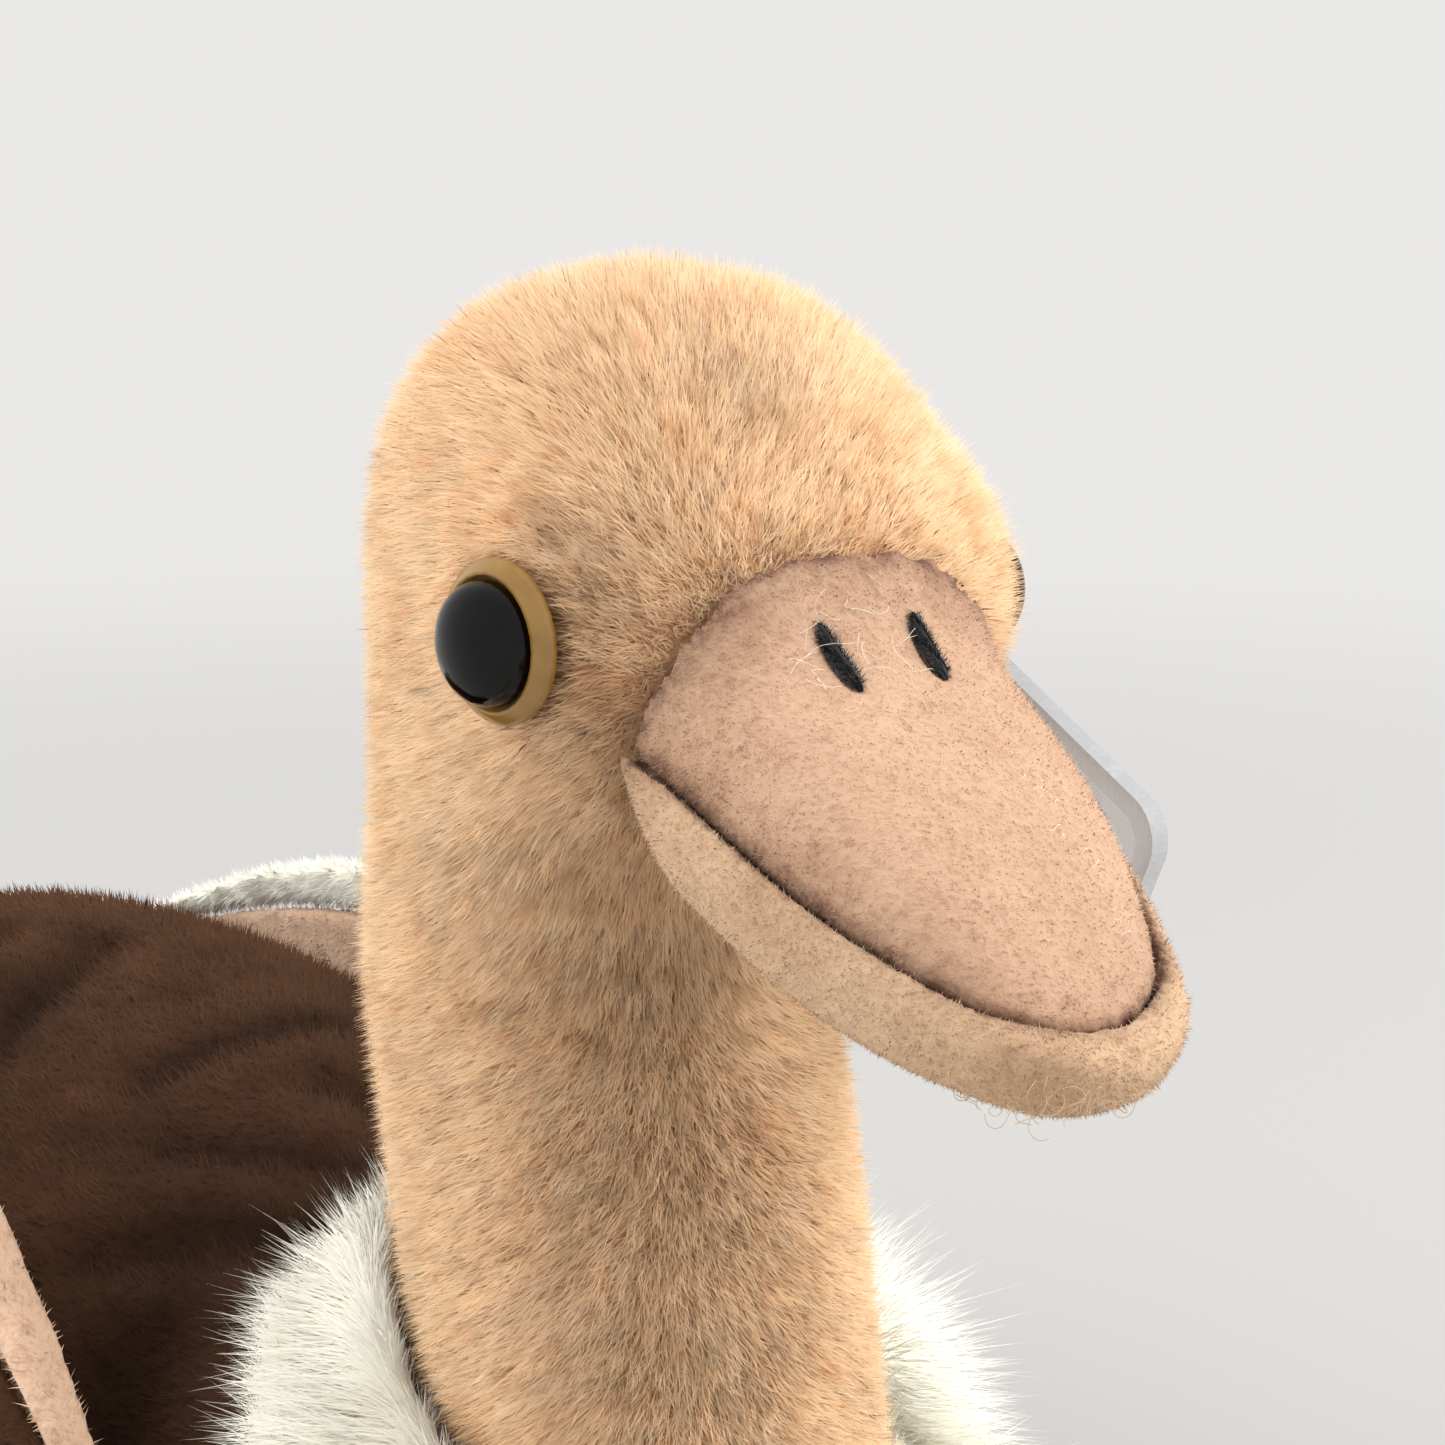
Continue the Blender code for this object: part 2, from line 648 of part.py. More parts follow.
def wing_point(side, u, v, off):
    """Place on a wing: u runs from the shoulder to the tip, v from the lower to the upper edge."""
    y = WING_BEHIND_CHEST - BODY_LENGTH / 2 + WING_LENGTH * u
    top = WING_TOP_Z - WING_HEIGHT * smooth(((0.0, 0.46), (0.05, 0.25), (0.1, 0.07), (0.17, -0.01), (0.36, 0.0),
                                             (0.53, 0.0), (0.7, 0.07), (0.86, 0.22), (1.0, 0.43)), u)
    low = WING_TOP_Z - WING_HEIGHT * smooth(((0.0, 0.58), (0.06, 0.74), (0.2, 0.92), (0.36, 1.0), (0.53, 0.99),
                                             (0.7, 0.91), (0.87, 0.75), (1.0, 0.53)), u)
    spread = smooth(((0.0, 0.866), (0.08, 0.92), (0.2, 0.956), (0.44, 1.0), (0.7, 0.988), (0.86, 0.915),
                     (1.0, 0.634)), u)
    x = spread * BODY_WIDTH / 2 + WING_OFF_BODY
    lean = WING_LEAN * v * v * smooth(((0.0, 0.5), (0.1, 0.8), (0.4, 1.0), (0.86, 0.6), (1.0, 0.4)), u)
    ripple = WING_RIPPLE * math.sin(9.0 * u + 2.0 * v) * u
    return Vector((side * (x - lean + ripple + off), y, low + (top - low) * v))


def wing_panel(name, side, us, top_edge, inner, outer, rows, shade):
    """Closed cloth panel between an inner and an outer offset, over rows of shares of its height."""
    bm = bmesh.new()
    for offset in (inner, outer):
        grid = bmesh.ops.create_grid(bm, x_segments=len(us) - 1, y_segments=len(rows) - 1, size=0.5)
        for vert in grid["verts"]:
            u = us[round((vert.co.x + 0.5) * (len(us) - 1))]
            row = rows[round((vert.co.y + 0.5) * (len(rows) - 1))]
            v = min(row, top_edge(u))
            vert.co = wing_point(side, u, v, offset(u, v))
    rims = [edge for edge in bm.edges if edge.is_boundary]
    bmesh.ops.bridge_loops(bm, edges=rims)
    return finish(bm, name, shade)


def wing(side, tag, body_cutter):
    """Brown outer cloth, a peach lining turned over the front of the upper edge, and a white trim behind it."""
    gap = SEAM_GAP
    split = 1 - TRIM_SHARE
    slit = gap / (WING_HEIGHT * 0.6)
    step = gap / WING_LENGTH
    front = [TRIM_START * index / 6 for index in range(7)]
    rear = [TRIM_START + step + (1 - TRIM_START - step) * index / 10 for index in range(11)]

    def lining_top(u):
        return 1.0 if u <= TRIM_START else split

    def lining_outer(u, v):
        return CLOTH + gap if v > split + slit else 0.0

    rows = (0.0, 0.25, 0.5, 0.7, split - slit, split + slit * 1.5, 1.0)
    lining = wing_panel(tag + "_wing_lining", side, front + rear, lining_top, lambda u, v: -CLOTH,
                        lining_outer, (0.0, 0.25, 0.5, 0.7, split - slit, split, split + slit * 1.5, 1.0),
                        peach_pile())
    wing_panel(tag + "_wing_outer", side, front + rear, lambda u: split - slit, lambda u, v: gap,
               lambda u, v: gap + CLOTH, rows[:5], brown_pile())
    wing_panel(tag + "_wing_trim", side, rear, lambda u: 1.0, lambda u, v: -CLOTH * 1.2,
               lambda u, v: CLOTH * 1.2 + gap, (split + slit * 1.5, 1.0), white_pile())
    cut(lining, body_cutter)


def leg_path(side, t):
    """Middle of a leg from hip to ankle, with a soft bend at the knee."""
    x = LEG_SPREAD_HIP + (LEG_SPREAD_ANKLE - LEG_SPREAD_HIP) * t
    y = HIP_BEHIND_CHEST - BODY_LENGTH / 2 - LEG_REACH * t
    z = smooth(((0.0, HIP_Z), (0.35, (HIP_Z + 4 * KNEE_Z) / 5), (0.55, KNEE_Z), (0.75, (KNEE_Z + 2 * ANKLE_Z) / 3),
                (1.0, ANKLE_Z)), t)
    return Vector((side * x, y, z))


def leg(side, tag):
    def section(t):
        here = leg_path(side, t)
        ahead = (leg_path(side, t + 0.01) - leg_path(side, t - 0.01)).normalized()
        across = ahead.cross(Vector((0, 0, 1))).normalized()
        up = across.cross(ahead)
        radius = smooth(((0.0, THIGH_RADIUS), (0.3, THIGH_RADIUS * 0.92), (0.46, SHANK_RADIUS * 1.08),
                         (0.55, KNEE_RADIUS), (0.64, SHANK_RADIUS * 1.02), (0.85, SHANK_RADIUS * 0.94),
                         (1.0, SHANK_RADIUS)), t)

        def place(angle):
            return here + across * (radius * math.cos(angle)) + up * (radius * math.sin(angle))

        return place

    return loft(tag + "_leg", [section(t / 14) for t in range(15)], peach_pile(), 16)


def toe(side, name, length, width, height, turn, shift, grow=0.0):
    """One toe of a foot: a rounded bar that lies on the floor and points forward."""
    heel = leg_path(side, 1.0)
    forward = Vector((side * math.sin(turn), -math.cos(turn), 0.0))
    across = Vector((math.cos(turn), side * math.sin(turn), 0.0))

    def section(t):
        share = smooth(((0.0, 0.35), (0.06, 0.7), (0.2, 0.95), (0.5, 0.9), (0.75, 1.0), (0.9, 0.8),
                        (0.97, 0.5), (1.0, 0.12)), t)
        tall = smooth(((0.0, 0.5), (0.06, 0.75), (0.2, 0.97), (0.5, 0.85), (0.75, 0.9), (0.9, 0.72),
                       (0.97, 0.48), (1.0, 0.2)), t)
        base = heel + across * shift + forward * (t * (length + 2 * grow) - HEEL_UNDER_LEG - grow)

        def place(angle):
            up = (math.sin(angle) + 1) / 2 * height * tall
            if math.sin(angle) > 0:
                up += grow
            else:
                up -= grow
            point = base + across * ((width / 2 * share + grow) * power(math.cos(angle), 0.8))
            return Vector((point.x, point.y, up))

        return place

    return loft(name, [section(t) for t in (0.0, 0.06, 0.16, 0.35, 0.55, 0.75, 0.87, 0.95, 1.0)], beak_felt(), 14)


def foot(side, tag, leg_piece):
    """Two toes from one heel, and the seat that they take out of the leg's end."""
    large = (side, FOOT_LENGTH, FOOT_WIDTH * 0.58, FOOT_HEIGHT, FOOT_TURN * 0.2, 0.0)
    small = (side, FOOT_LENGTH * 0.76, FOOT_WIDTH * 0.46, FOOT_HEIGHT * 0.82, FOOT_TURN * 3.4,
             side * TOES_APART)
    first = toe(large[0], tag + "_foot", *large[1:])
    second = toe(small[0], tag + "_foot_outer_toe", *small[1:])
    join(first, second)
    for index, size in enumerate((large, small)):
        cutter = toe(size[0], tag + "_foot_cutter_" + str(index), *size[1:], grow=SEAM_GAP)
        cut(leg_piece, cutter)
    return first


def sleeve_frame():
    """Frame of the sleeve beside the neck: X along the rear-up edge, Y up, Z away from the neck."""
    pin_y = NECK_TOP.y
    pin_z = NECK_TOP.z + PIN_ABOVE_NECK_TOP
    rearward = Vector((0.0, math.cos(SLEEVE_TURN), math.sin(SLEEVE_TURN)))
    upward = Vector((0.0, -math.sin(SLEEVE_TURN), math.cos(SLEEVE_TURN)))
    out = Vector((1.0, 0.0, 0.0))
    x = head_surface_x(pin_y, pin_z) + SLEEVE_OFF_NECK
    pin = Vector((x, pin_y, pin_z))
    centre = pin - rearward * (SLEEVE_SIDE / 2 - SLEEVE_PIN_INSET) + upward * SLEEVE_RISE
    frame = Matrix((rearward, upward, out)).transposed().to_4x4()
    return Matrix.Translation(centre) @ frame


def rounded_frame(bm, length, width, corner, z):
    """Closed ring of a rectangle with round corners."""
    first = len(bm.edges)
    circle = bmesh.ops.create_circle(bm, cap_ends=False, radius=1.0, segments=32)
    for vert in circle["verts"]:
        angle = math.atan2(vert.co.y, vert.co.x) + math.pi / 32
        x = math.copysign(length / 2 - corner, math.cos(angle)) + corner * math.cos(angle)
        y = math.copysign(width / 2 - corner, math.sin(angle)) + corner * math.sin(angle)
        vert.co = Vector((x, y, z))
    bm.edges.ensure_lookup_table()
    return bm.edges[first:]


def sleeve_solid(name):
    """Two clear films welded into a raised rim, with a round hole for the pin."""
    half = SLEEVE_THICKNESS / 2
    rim = SLEEVE_RIM_THICKNESS / 2
    hole = PIN_RADIUS + SEAM_GAP
    hole_x = SLEEVE_SIDE / 2 - SLEEVE_PIN_INSET
    bm = bmesh.new()
    rings = ((SLEEVE_RIM + SLEEVE_RIM_SLOPE, half), (SLEEVE_RIM, rim), (0.0, rim), (0.0, -rim),
             (SLEEVE_RIM, -rim), (SLEEVE_RIM + SLEEVE_RIM_SLOPE, -half))
    loops = [rounded_frame(bm, SLEEVE_SIDE - 2 * inset, SLEEVE_DROP - 2 * inset, SLEEVE_CORNER - inset * 0.5, z)
             for inset, z in rings]
    holes = []
    for z in (half, -half):
        first = len(bm.edges)
        circle = bmesh.ops.create_circle(bm, cap_ends=False, radius=hole, segments=16)
        for vert in circle["verts"]:
            vert.co += Vector((hole_x, -SLEEVE_RISE, z))
        bm.edges.ensure_lookup_table()
        holes.append(bm.edges[first:])
    bmesh.ops.triangle_fill(bm, edges=loops[0] + holes[0], use_beauty=True)
    bmesh.ops.triangle_fill(bm, edges=loops[-1] + holes[1], use_beauty=True)
    for lower, upper in list(zip(loops, loops[1:])) + [holes]:
        bmesh.ops.bridge_loops(bm, edges=lower + upper)
    bmesh.ops.transform(bm, matrix=sleeve_frame(), verts=bm.verts)
    return finish(bm, name, clear_plastic(), math.radians(25))


def pin_profile(grow):
    inside = -SLEEVE_OFF_NECK - PIN_IN_NECK - grow
    knob = SLEEVE_THICKNESS / 2 + SEAM_GAP
    return ((0.0, inside), (PIN_RADIUS + grow, inside), (PIN_RADIUS + grow, knob - grow),
            (PIN_KNOB + grow, knob - grow), (PIN_KNOB + grow, knob + PIN_KNOB_THICKNESS * 0.6),
            (PIN_KNOB * 0.6 + grow, knob + PIN_KNOB_THICKNESS + grow), (0.0, knob + PIN_KNOB_THICKNESS + grow))


def pin_solid(name, grow=0.0):
    """Plastic pin through the sleeve's edge into the neck's seam."""
    place = sleeve_frame() @ Matrix.Translation((SLEEVE_SIDE / 2 - SLEEVE_PIN_INSET, -SLEEVE_RISE, 0.0))
    return turned(name, pin_profile(grow), place, pale_plastic(), 16)


def turn_with_head(*pieces):
    """The head and neck look a little to the toy's right: turn them about the neck's root."""
    root = NECK_ROOT * MM
    turn = Matrix.Translation(root) @ Matrix.Rotation(HEAD_TURN, 4, "Z") @ Matrix.Translation(-root)
    for piece in pieces:
        piece.data.transform(turn)


def main():
    for item in list(bpy.data.objects):
        bpy.data.objects.remove(item, do_unlink=True)

    body_solid("body")
    body_cutter = body_solid("body_cutter", SEAM_GAP)
    head_neck = head_neck_solid("head_neck")
    head_cutter = head_neck_solid("head_cutter", SEAM_GAP)
    upper_beak = upper_beak_solid("upper_beak")
    lower_beak = lower_beak_solid("lower_beak")
    turn_with_head(head_neck, head_cutter, upper_beak, lower_beak)
    cut(head_neck, body_cutter)
    cut(upper_beak, head_cutter)
    tray = tray_cutter("lower_beak_cutter")
    turn_with_head(tray)
    cut(lower_beak, head_cutter)
    cut(lower_beak, tray)

    for side, tag in ((-1, "right"), (1, "left")):
        seat = eye_cutter(side, tag)
        stitches = nostril(side, tag + "_nostril")
        groove = nostril(side, tag + "_nostril_cutter", SEAM_GAP * 0.6)
        turn_with_head(eye(side, tag), pupil(side, tag), washer(side, tag), seat, stitches, groove)
        cut(head_neck, seat)
        cut(upper_beak, groove)
        wing(side, tag, body_cutter)
        leg_piece = leg(side, tag)
        cut(leg_piece, body_cutter)
        foot(side, tag, leg_piece)

    collar = collar_solid("collar")
    cut(collar, body_cutter)
    cut(collar, head_cutter)
    tail = tail_solid("tail")
    cut(tail, body_cutter)

    sleeve = sleeve_solid("tag_sleeve")
    pin = pin_solid("tag_pin")
    pin_cutter = pin_solid("tag_pin_cutter", SEAM_GAP)
    turn_with_head(sleeve, pin, pin_cutter)
    cut(head_neck, pin_cutter)


main()
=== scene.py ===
import math
import random

import bmesh
import bpy
from mathutils import Matrix, Vector, noise
from mathutils.bvhtree import BVHTree


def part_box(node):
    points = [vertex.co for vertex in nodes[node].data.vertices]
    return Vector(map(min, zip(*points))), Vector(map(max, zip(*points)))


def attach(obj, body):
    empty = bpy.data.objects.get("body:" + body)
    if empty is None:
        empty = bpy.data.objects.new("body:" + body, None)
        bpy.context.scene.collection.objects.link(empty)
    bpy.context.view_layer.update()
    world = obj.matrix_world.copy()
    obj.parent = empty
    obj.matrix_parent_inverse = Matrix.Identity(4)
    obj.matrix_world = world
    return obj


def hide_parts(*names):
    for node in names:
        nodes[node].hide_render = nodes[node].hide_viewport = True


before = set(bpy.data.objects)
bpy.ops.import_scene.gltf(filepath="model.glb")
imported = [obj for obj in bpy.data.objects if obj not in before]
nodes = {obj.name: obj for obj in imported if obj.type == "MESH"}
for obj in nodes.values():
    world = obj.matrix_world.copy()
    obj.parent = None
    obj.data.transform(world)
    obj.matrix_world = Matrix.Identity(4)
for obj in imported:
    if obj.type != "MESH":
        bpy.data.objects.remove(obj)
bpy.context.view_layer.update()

MM = 0.001

# Place and aim of the photograph's camera, and its lens and sensor in millimetres
CAMERA_PLACE = Vector((-0.12461, -0.20029, 0.14641))
CAMERA_AZIMUTH = -43.0
CAMERA_ELEVATION = 12.0
CAMERA_LENS = 69.46
CAMERA_SENSOR = 36.0

AZIMUTH = math.radians(CAMERA_AZIMUTH)
ELEVATION = math.radians(CAMERA_ELEVATION)
FORWARD = Vector((-math.sin(AZIMUTH) * math.cos(ELEVATION), math.cos(AZIMUTH) * math.cos(ELEVATION),
                  -math.sin(ELEVATION)))
RIGHT = FORWARD.cross(Vector((0, 0, 1))).normalized()
UP = RIGHT.cross(FORWARD)
PHOTO_SIDE = 1445

# Thickness of each pile, from its skin to its tips
HEAD_PILE = 1.7 * MM
FACE_PILE = 0.8 * MM
FULL_CHEEK = 0.8 * MM
LEG_PILE = 1.4 * MM
NAP = 0.5 * MM
FELT = 0.2 * MM
COLLAR_PILE = 3.0 * MM
TAIL_PILE = 4.0 * MM

# Filling and cloth in the simulation of the stuffed pieces, its frames, and the height that stays put
FILLING_PRESSURE = 12.0
CLOTH_MASS = 0.002
CLOTH_STIFFNESS = 1.0
CLOTH_FRAMES = 20
PINNED_BELOW = 1.0 * MM

# The lowest place of a fibre over the floor
FLOOR_CLEARANCE = 0.05 * MM

# The pile's UV map: the share of it in use, and the width of one fibre
MAP_SPAN = 0.96
MAP_FIBRE = 0.001

# How far the beak's halves are brought together at their seam, and how far from it that reaches
SEAM_CLOSING = 0.17 * MM
SEAM_REACH = 1.3 * MM

# Landmarks of the head in the part's frame, the beak's in millimetres and before the head's turn
HEAD_TURN = math.radians(-9.0)
NECK_ROOT = Vector((0.0, -60.5, 43.0)) * MM
BEAK_ROOT = (0.0, -84.0, 111.0)

# How far the pile runs straight away from the beak's root, and the length over which that fades
FACE_REACH = 14 * MM
FACE_FADE = 22 * MM

# Darker places of the peach pile: painted shade round the near eye, under the cheek and down the throat,
# and at (752, 392) a real brown mottle on the forehead; pixel of the photograph, radius in millimetres
# and strength
SHADE_AND_MOTTLE_PLACES = (
    ((590, 600), 3.2, 1.0),
    ((550, 545), 2.6, 1.0),
    ((752, 392), 3.4, 0.8),
    ((600, 750), 2.6, 0.7),
    ((640, 1000), 6.0, 0.6),
    ((650, 1180), 6.5, 0.55),
    ((640, 1330), 6.0, 0.4),
    ((600, 880), 4.0, 0.5),
)

# Folds of the body's cloth: pixels of the photograph at each end, depth and half width in millimetres
BODY_FOLDS = (
    ((105, 935), (-60, 1110), 2.4, 3.2),
    ((0, 925), (-60, 960), 1.6, 3.0),
    ((150, 1075), (330, 1020), 0.9, 2.6),
    ((330, 1160), (180, 1145), 1.2, 2.6),
    ((360, 1235), (90, 1245), 2.0, 3.2),
    ((330, 1080), (390, 1110), 1.4, 3.0),
    ((150, 1330), (70, 1500), 1.6, 5.0),
)


class Wire:
    """A socket of a node tree that understands arithmetic."""

    def __init__(self, tree, socket):
        self.tree = tree
        self.socket = socket

    def maths(self, operation, *values):
        return self.tree.add("ShaderNodeMath", {"operation": operation}, dict(enumerate(values)))

    def __add__(self, other):
        return self.maths("ADD", self, other)

    def __radd__(self, other):
        return self.maths("ADD", other, self)

    def __sub__(self, other):
        return self.maths("SUBTRACT", self, other)

    def __rsub__(self, other):
        return self.maths("SUBTRACT", other, self)

    def __mul__(self, other):
        return self.maths("MULTIPLY", self, other)

    def __rmul__(self, other):
        return self.maths("MULTIPLY", other, self)

    def ramp(self, low, high):
        """0 below low, 1 above high, smooth between."""
        return self.tree.add("ShaderNodeMapRange", {"interpolation_type": "SMOOTHSTEP"},
                             {"Value": self, "From Min": low, "From Max": high})


class Tree:
    """Adds nodes to a shader or geometry tree."""

    def __init__(self, tree):
        self.tree = tree

    def add(self, kind, settings=None, values=None, output=0):
        node = self.tree.nodes.new(kind)
        for name, value in (settings or {}).items():
            setattr(node, name, value)
        for name, value in (values or {}).items():
            socket = node.inputs[name]
            if isinstance(value, Wire):
                self.tree.links.new(value.socket, socket)
            else:
                socket.default_value = value
        return Wire(self, node.outputs[output]) if node.outputs else None

    def pick(self, wire, output):
        """Another output of the node that a wire comes from."""
        return Wire(self, wire.socket.node.outputs[output])

    def vector(self, operation, *values, output=0):
        return self.add("ShaderNodeVectorMath", {"operation": operation}, dict(enumerate(values)), output)

    def scaled(self, vector, factor):
        return self.add("ShaderNodeVectorMath", {"operation": "SCALE"}, {0: vector, "Scale": factor})

    def mix(self, factor, first, second):
        """Mix two colours."""
        return self.add("ShaderNodeMix", {"data_type": "RGBA"}, {0: factor, 6: first, 7: second}, 2)


class Finish(Tree):
    """A material built on the Principled shader."""

    def __init__(self, name, **constants):
        self.material = bpy.data.materials.new(name)
        self.material.use_nodes = True
        super().__init__(self.material.node_tree)
        self.surface = self.tree.nodes["Principled BSDF"]
        self.place = self.add("ShaderNodeTexCoord", output=3)
        for socket, value in constants.items():
            self.surface.inputs[socket.replace("_", " ")].default_value = value

    def feed(self, **wires):
        for socket, wire in wires.items():
            self.tree.links.new(wire.socket, self.surface.inputs[socket.replace("_", " ")])
        return self.material

    def noise(self, scale, detail=3.0, roughness=0.55, stretch=None):
        where = self.place
        if stretch:
            where = self.vector("MULTIPLY", where, stretch)
        return self.add("ShaderNodeTexNoise", {}, {"Vector": where, "Scale": scale, "Detail": detail,
                                                   "Roughness": roughness})

    def attribute(self, name):
        return self.add("ShaderNodeAttribute", {"attribute_name": name}, output=2)

    def bump(self, height, strength, distance):
        return self.add("ShaderNodeBump", {},
                        {"Height": height, "Strength": strength, "Distance": distance})


def colour(red, green, blue):
    """Screen colour from 0 to 255 as the linear colour that the shaders use."""
    def linear(value):
        value /= 255.0
        return value / 12.92 if value <= 0.04045 else ((value + 0.055) / 1.055) ** 2.4
    return (linear(red), linear(green), linear(blue), 1.0)


def peach_pile_finish(name, fibre):
    """Short peach pile: mottled, with painted shade at the roots of its fibres and on the backing between
    them.
    """
    finish = Finish(name, Roughness=0.9, Sheen_Weight=0.08, Sheen_Roughness=0.5, Specular_IOR_Level=0.1)
    mottle = finish.noise(110.0, 3.0, 0.6).ramp(0.42, 0.7)
    fleck = finish.noise(420.0, 3.0, 0.7).ramp(0.47, 0.64)
    painted_shade_and_mottle = finish.attribute("painted_shade_and_mottle")
    shade = finish.mix(mottle * 0.55, colour(253, 216, 172), colour(244, 196, 148))
    shade = finish.mix(fleck * (0.15 + mottle * 0.4), shade, colour(218, 160, 112))
    if fibre:
        along = finish.attribute("along")
        tint = finish.attribute("tint")
        # painted shade: darker towards each fibre's root
        shade = finish.mix((1 - along).ramp(0.2, 1.0) * 0.45, shade, colour(216, 156, 106))
        shade = finish.mix(tint.ramp(0.5, 0.9) * 0.4, shade, colour(255, 232, 202))
        shade = finish.mix((1 - tint).ramp(0.55, 0.95) * 0.3, shade, colour(218, 162, 114))
        # painted shade, and the head's one real brown mottle
        shade = finish.mix(painted_shade_and_mottle * (0.4 + fleck * 0.5), shade, colour(124, 86, 58))
        return finish.feed(Base_Color=shade)
    # painted shade: the backing darker, standing in for the shade between the fibres
    shade = finish.mix(0.25, shade, colour(192, 136, 88))
    # painted shade, and the head's one real brown mottle
    shade = finish.mix(painted_shade_and_mottle * 0.6, shade, colour(110, 76, 52))
    pits = finish.noise(1500.0, 2.0)
    return finish.feed(Base_Color=shade, Normal=finish.bump(pits, 0.5, 0.0006))


def felt_finish(name, fibre, pale, deep):
    """Short felt with matted fibres, with painted shade in its seams and towards them."""
    finish = Finish(name, Roughness=0.92, Sheen_Weight=0.1, Sheen_Roughness=0.5, Specular_IOR_Level=0.1)
    mottle = finish.noise(150.0, 4.0, 0.65).ramp(0.35, 0.7)
    matting = finish.noise(800.0, 4.0, 0.7)
    painted_seam_shade = finish.attribute("painted_seam_shade")
    painted_shade_and_mottle = finish.attribute("painted_shade_and_mottle")
    shade = finish.mix(mottle * 0.45, colour(*pale), colour(*deep))
    shade = finish.mix(matting.ramp(0.5, 0.72) * 0.4, shade, colour(160, 116, 90))
    # painted shade towards the seams
    shade = finish.mix(painted_shade_and_mottle * (0.25 + mottle * 0.45), shade, colour(128, 86, 66))
    # painted shade in the seams, broken up by the matting
    shade = finish.mix(painted_seam_shade * (0.35 + matting.ramp(0.35, 0.6) * 0.6), shade, colour(84, 50, 38))
    if fibre:
        tint = finish.attribute("tint")
        shade = finish.mix(tint * 0.35, shade, colour(232, 200, 172))
        return finish.feed(Base_Color=shade)
    height = matting * 0.6 + finish.noise(2200.0, 2.0) * 0.4
    return finish.feed(Base_Color=shade, Normal=finish.bump(height, 0.5, 0.0006))


def brown_pile_finish(name, fibre):
    """Dark brown velvety pile with painted sheen in broad random patches, and painted shade in its folds.
    """
    finish = Finish(name, Roughness=0.85, Sheen_Weight=0.2, Sheen_Roughness=0.4,
                    Sheen_Tint=colour(150, 108, 78), Specular_IOR_Level=0.15)
    painted_sheen_patches = finish.noise(38.0, 3.0, 0.6, (1.0, 0.6, 1.4)).ramp(0.38, 0.68)
    fleck = finish.noise(500.0, 3.0, 0.7)
    painted_shade_and_mottle = finish.attribute("painted_shade_and_mottle")
    # painted sheen: lighter in broad random patches
    shade = finish.mix(painted_sheen_patches * 0.8, colour(54, 35, 23), colour(78, 52, 36))
    shade = finish.mix(fleck.ramp(0.45, 0.75) * 0.4, shade, colour(48, 30, 19))
    # painted shade in the folds of the cloth
    shade = finish.mix(painted_shade_and_mottle * 0.75, shade, colour(24, 15, 11))
    if fibre:
        tint = finish.attribute("tint")
        shade = finish.mix(tint * (0.25 - painted_shade_and_mottle * 0.2), shade, colour(112, 78, 54))
        return finish.feed(Base_Color=shade)
    return finish.feed(Base_Color=shade, Normal=finish.bump(fleck, 0.45, 0.0006))


def white_pile_finish(name, fibre):
    """Long creamy white pile, with painted shade greying it towards the roots."""
    finish = Finish(name, Roughness=0.8, Sheen_Weight=0.3, Sheen_Roughness=0.5, Specular_IOR_Level=0.15)
    drift = finish.noise(120.0, 3.0, 0.6).ramp(0.35, 0.7)
    shade = finish.mix(drift * 0.5, colour(254, 252, 238), colour(246, 241, 222))
    if fibre:
        along = finish.attribute("along")
        tint = finish.attribute("tint")
        # painted shade: greyer towards each fibre's root
        shade = finish.mix((1 - along) * 0.2, shade, colour(232, 226, 204))
        shade = finish.mix(tint * 0.4, shade, colour(255, 255, 250))
        return finish.feed(Base_Color=shade)
    matting = finish.noise(800.0, 2.0)
    return finish.feed(Base_Color=shade, Normal=finish.bump(matting, 0.5, 0.0008))


def amber_finish():
    """Amber plastic with faint swirls of deeper colour."""
    finish = Finish("amber_ring", Roughness=0.16, Coat_Weight=0.3, Coat_Roughness=0.08)
    swirl = finish.noise(260.0, 3.0, 0.5).ramp(0.35, 0.7)
    shade = finish.mix(swirl * 0.6, colour(152, 116, 56), colour(120, 84, 32))
    wear = finish.noise(1800.0, 2.0)
    return finish.feed(Base_Color=shade, Roughness=0.12 + wear * 0.14)


def pupil_finish():
    """Black polished dome with the faint haze of handling."""
    finish = Finish("black_dome", Roughness=0.06, Specular_IOR_Level=0.22)
    haze = finish.noise(420.0, 3.0, 0.6)
    shade = finish.mix(haze.ramp(0.45, 0.75) * 0.5, colour(5, 6, 6), colour(14, 16, 16))
    return finish.feed(Base_Color=shade, Roughness=0.04 + haze * 0.09)


def thread_finish():
    """Black embroidery thread laid side by side."""
    finish = Finish("black_thread", Roughness=0.8, Sheen_Weight=0.2, Specular_IOR_Level=0.15)
    strands = finish.add("ShaderNodeTexWave", {"bands_direction": "X"},
                         {"Vector": finish.place, "Scale": 700.0, "Distortion": 2.0, "Detail": 2.0})
    shade = finish.mix(strands, colour(10, 11, 13), colour(34, 35, 38))
    return finish.feed(Base_Color=shade, Normal=finish.bump(strands, 1.0, 0.0006))


def moulded_finish():
    """Milky moulded plastic of the pin and the washers."""
    finish = Finish("milky_plastic", Roughness=0.35)
    cloud = finish.noise(500.0, 3.0)
    shade = finish.mix(cloud, colour(216, 218, 216), colour(196, 199, 198))
    return finish.feed(Base_Color=shade, Roughness=0.28 + cloud * 0.2)


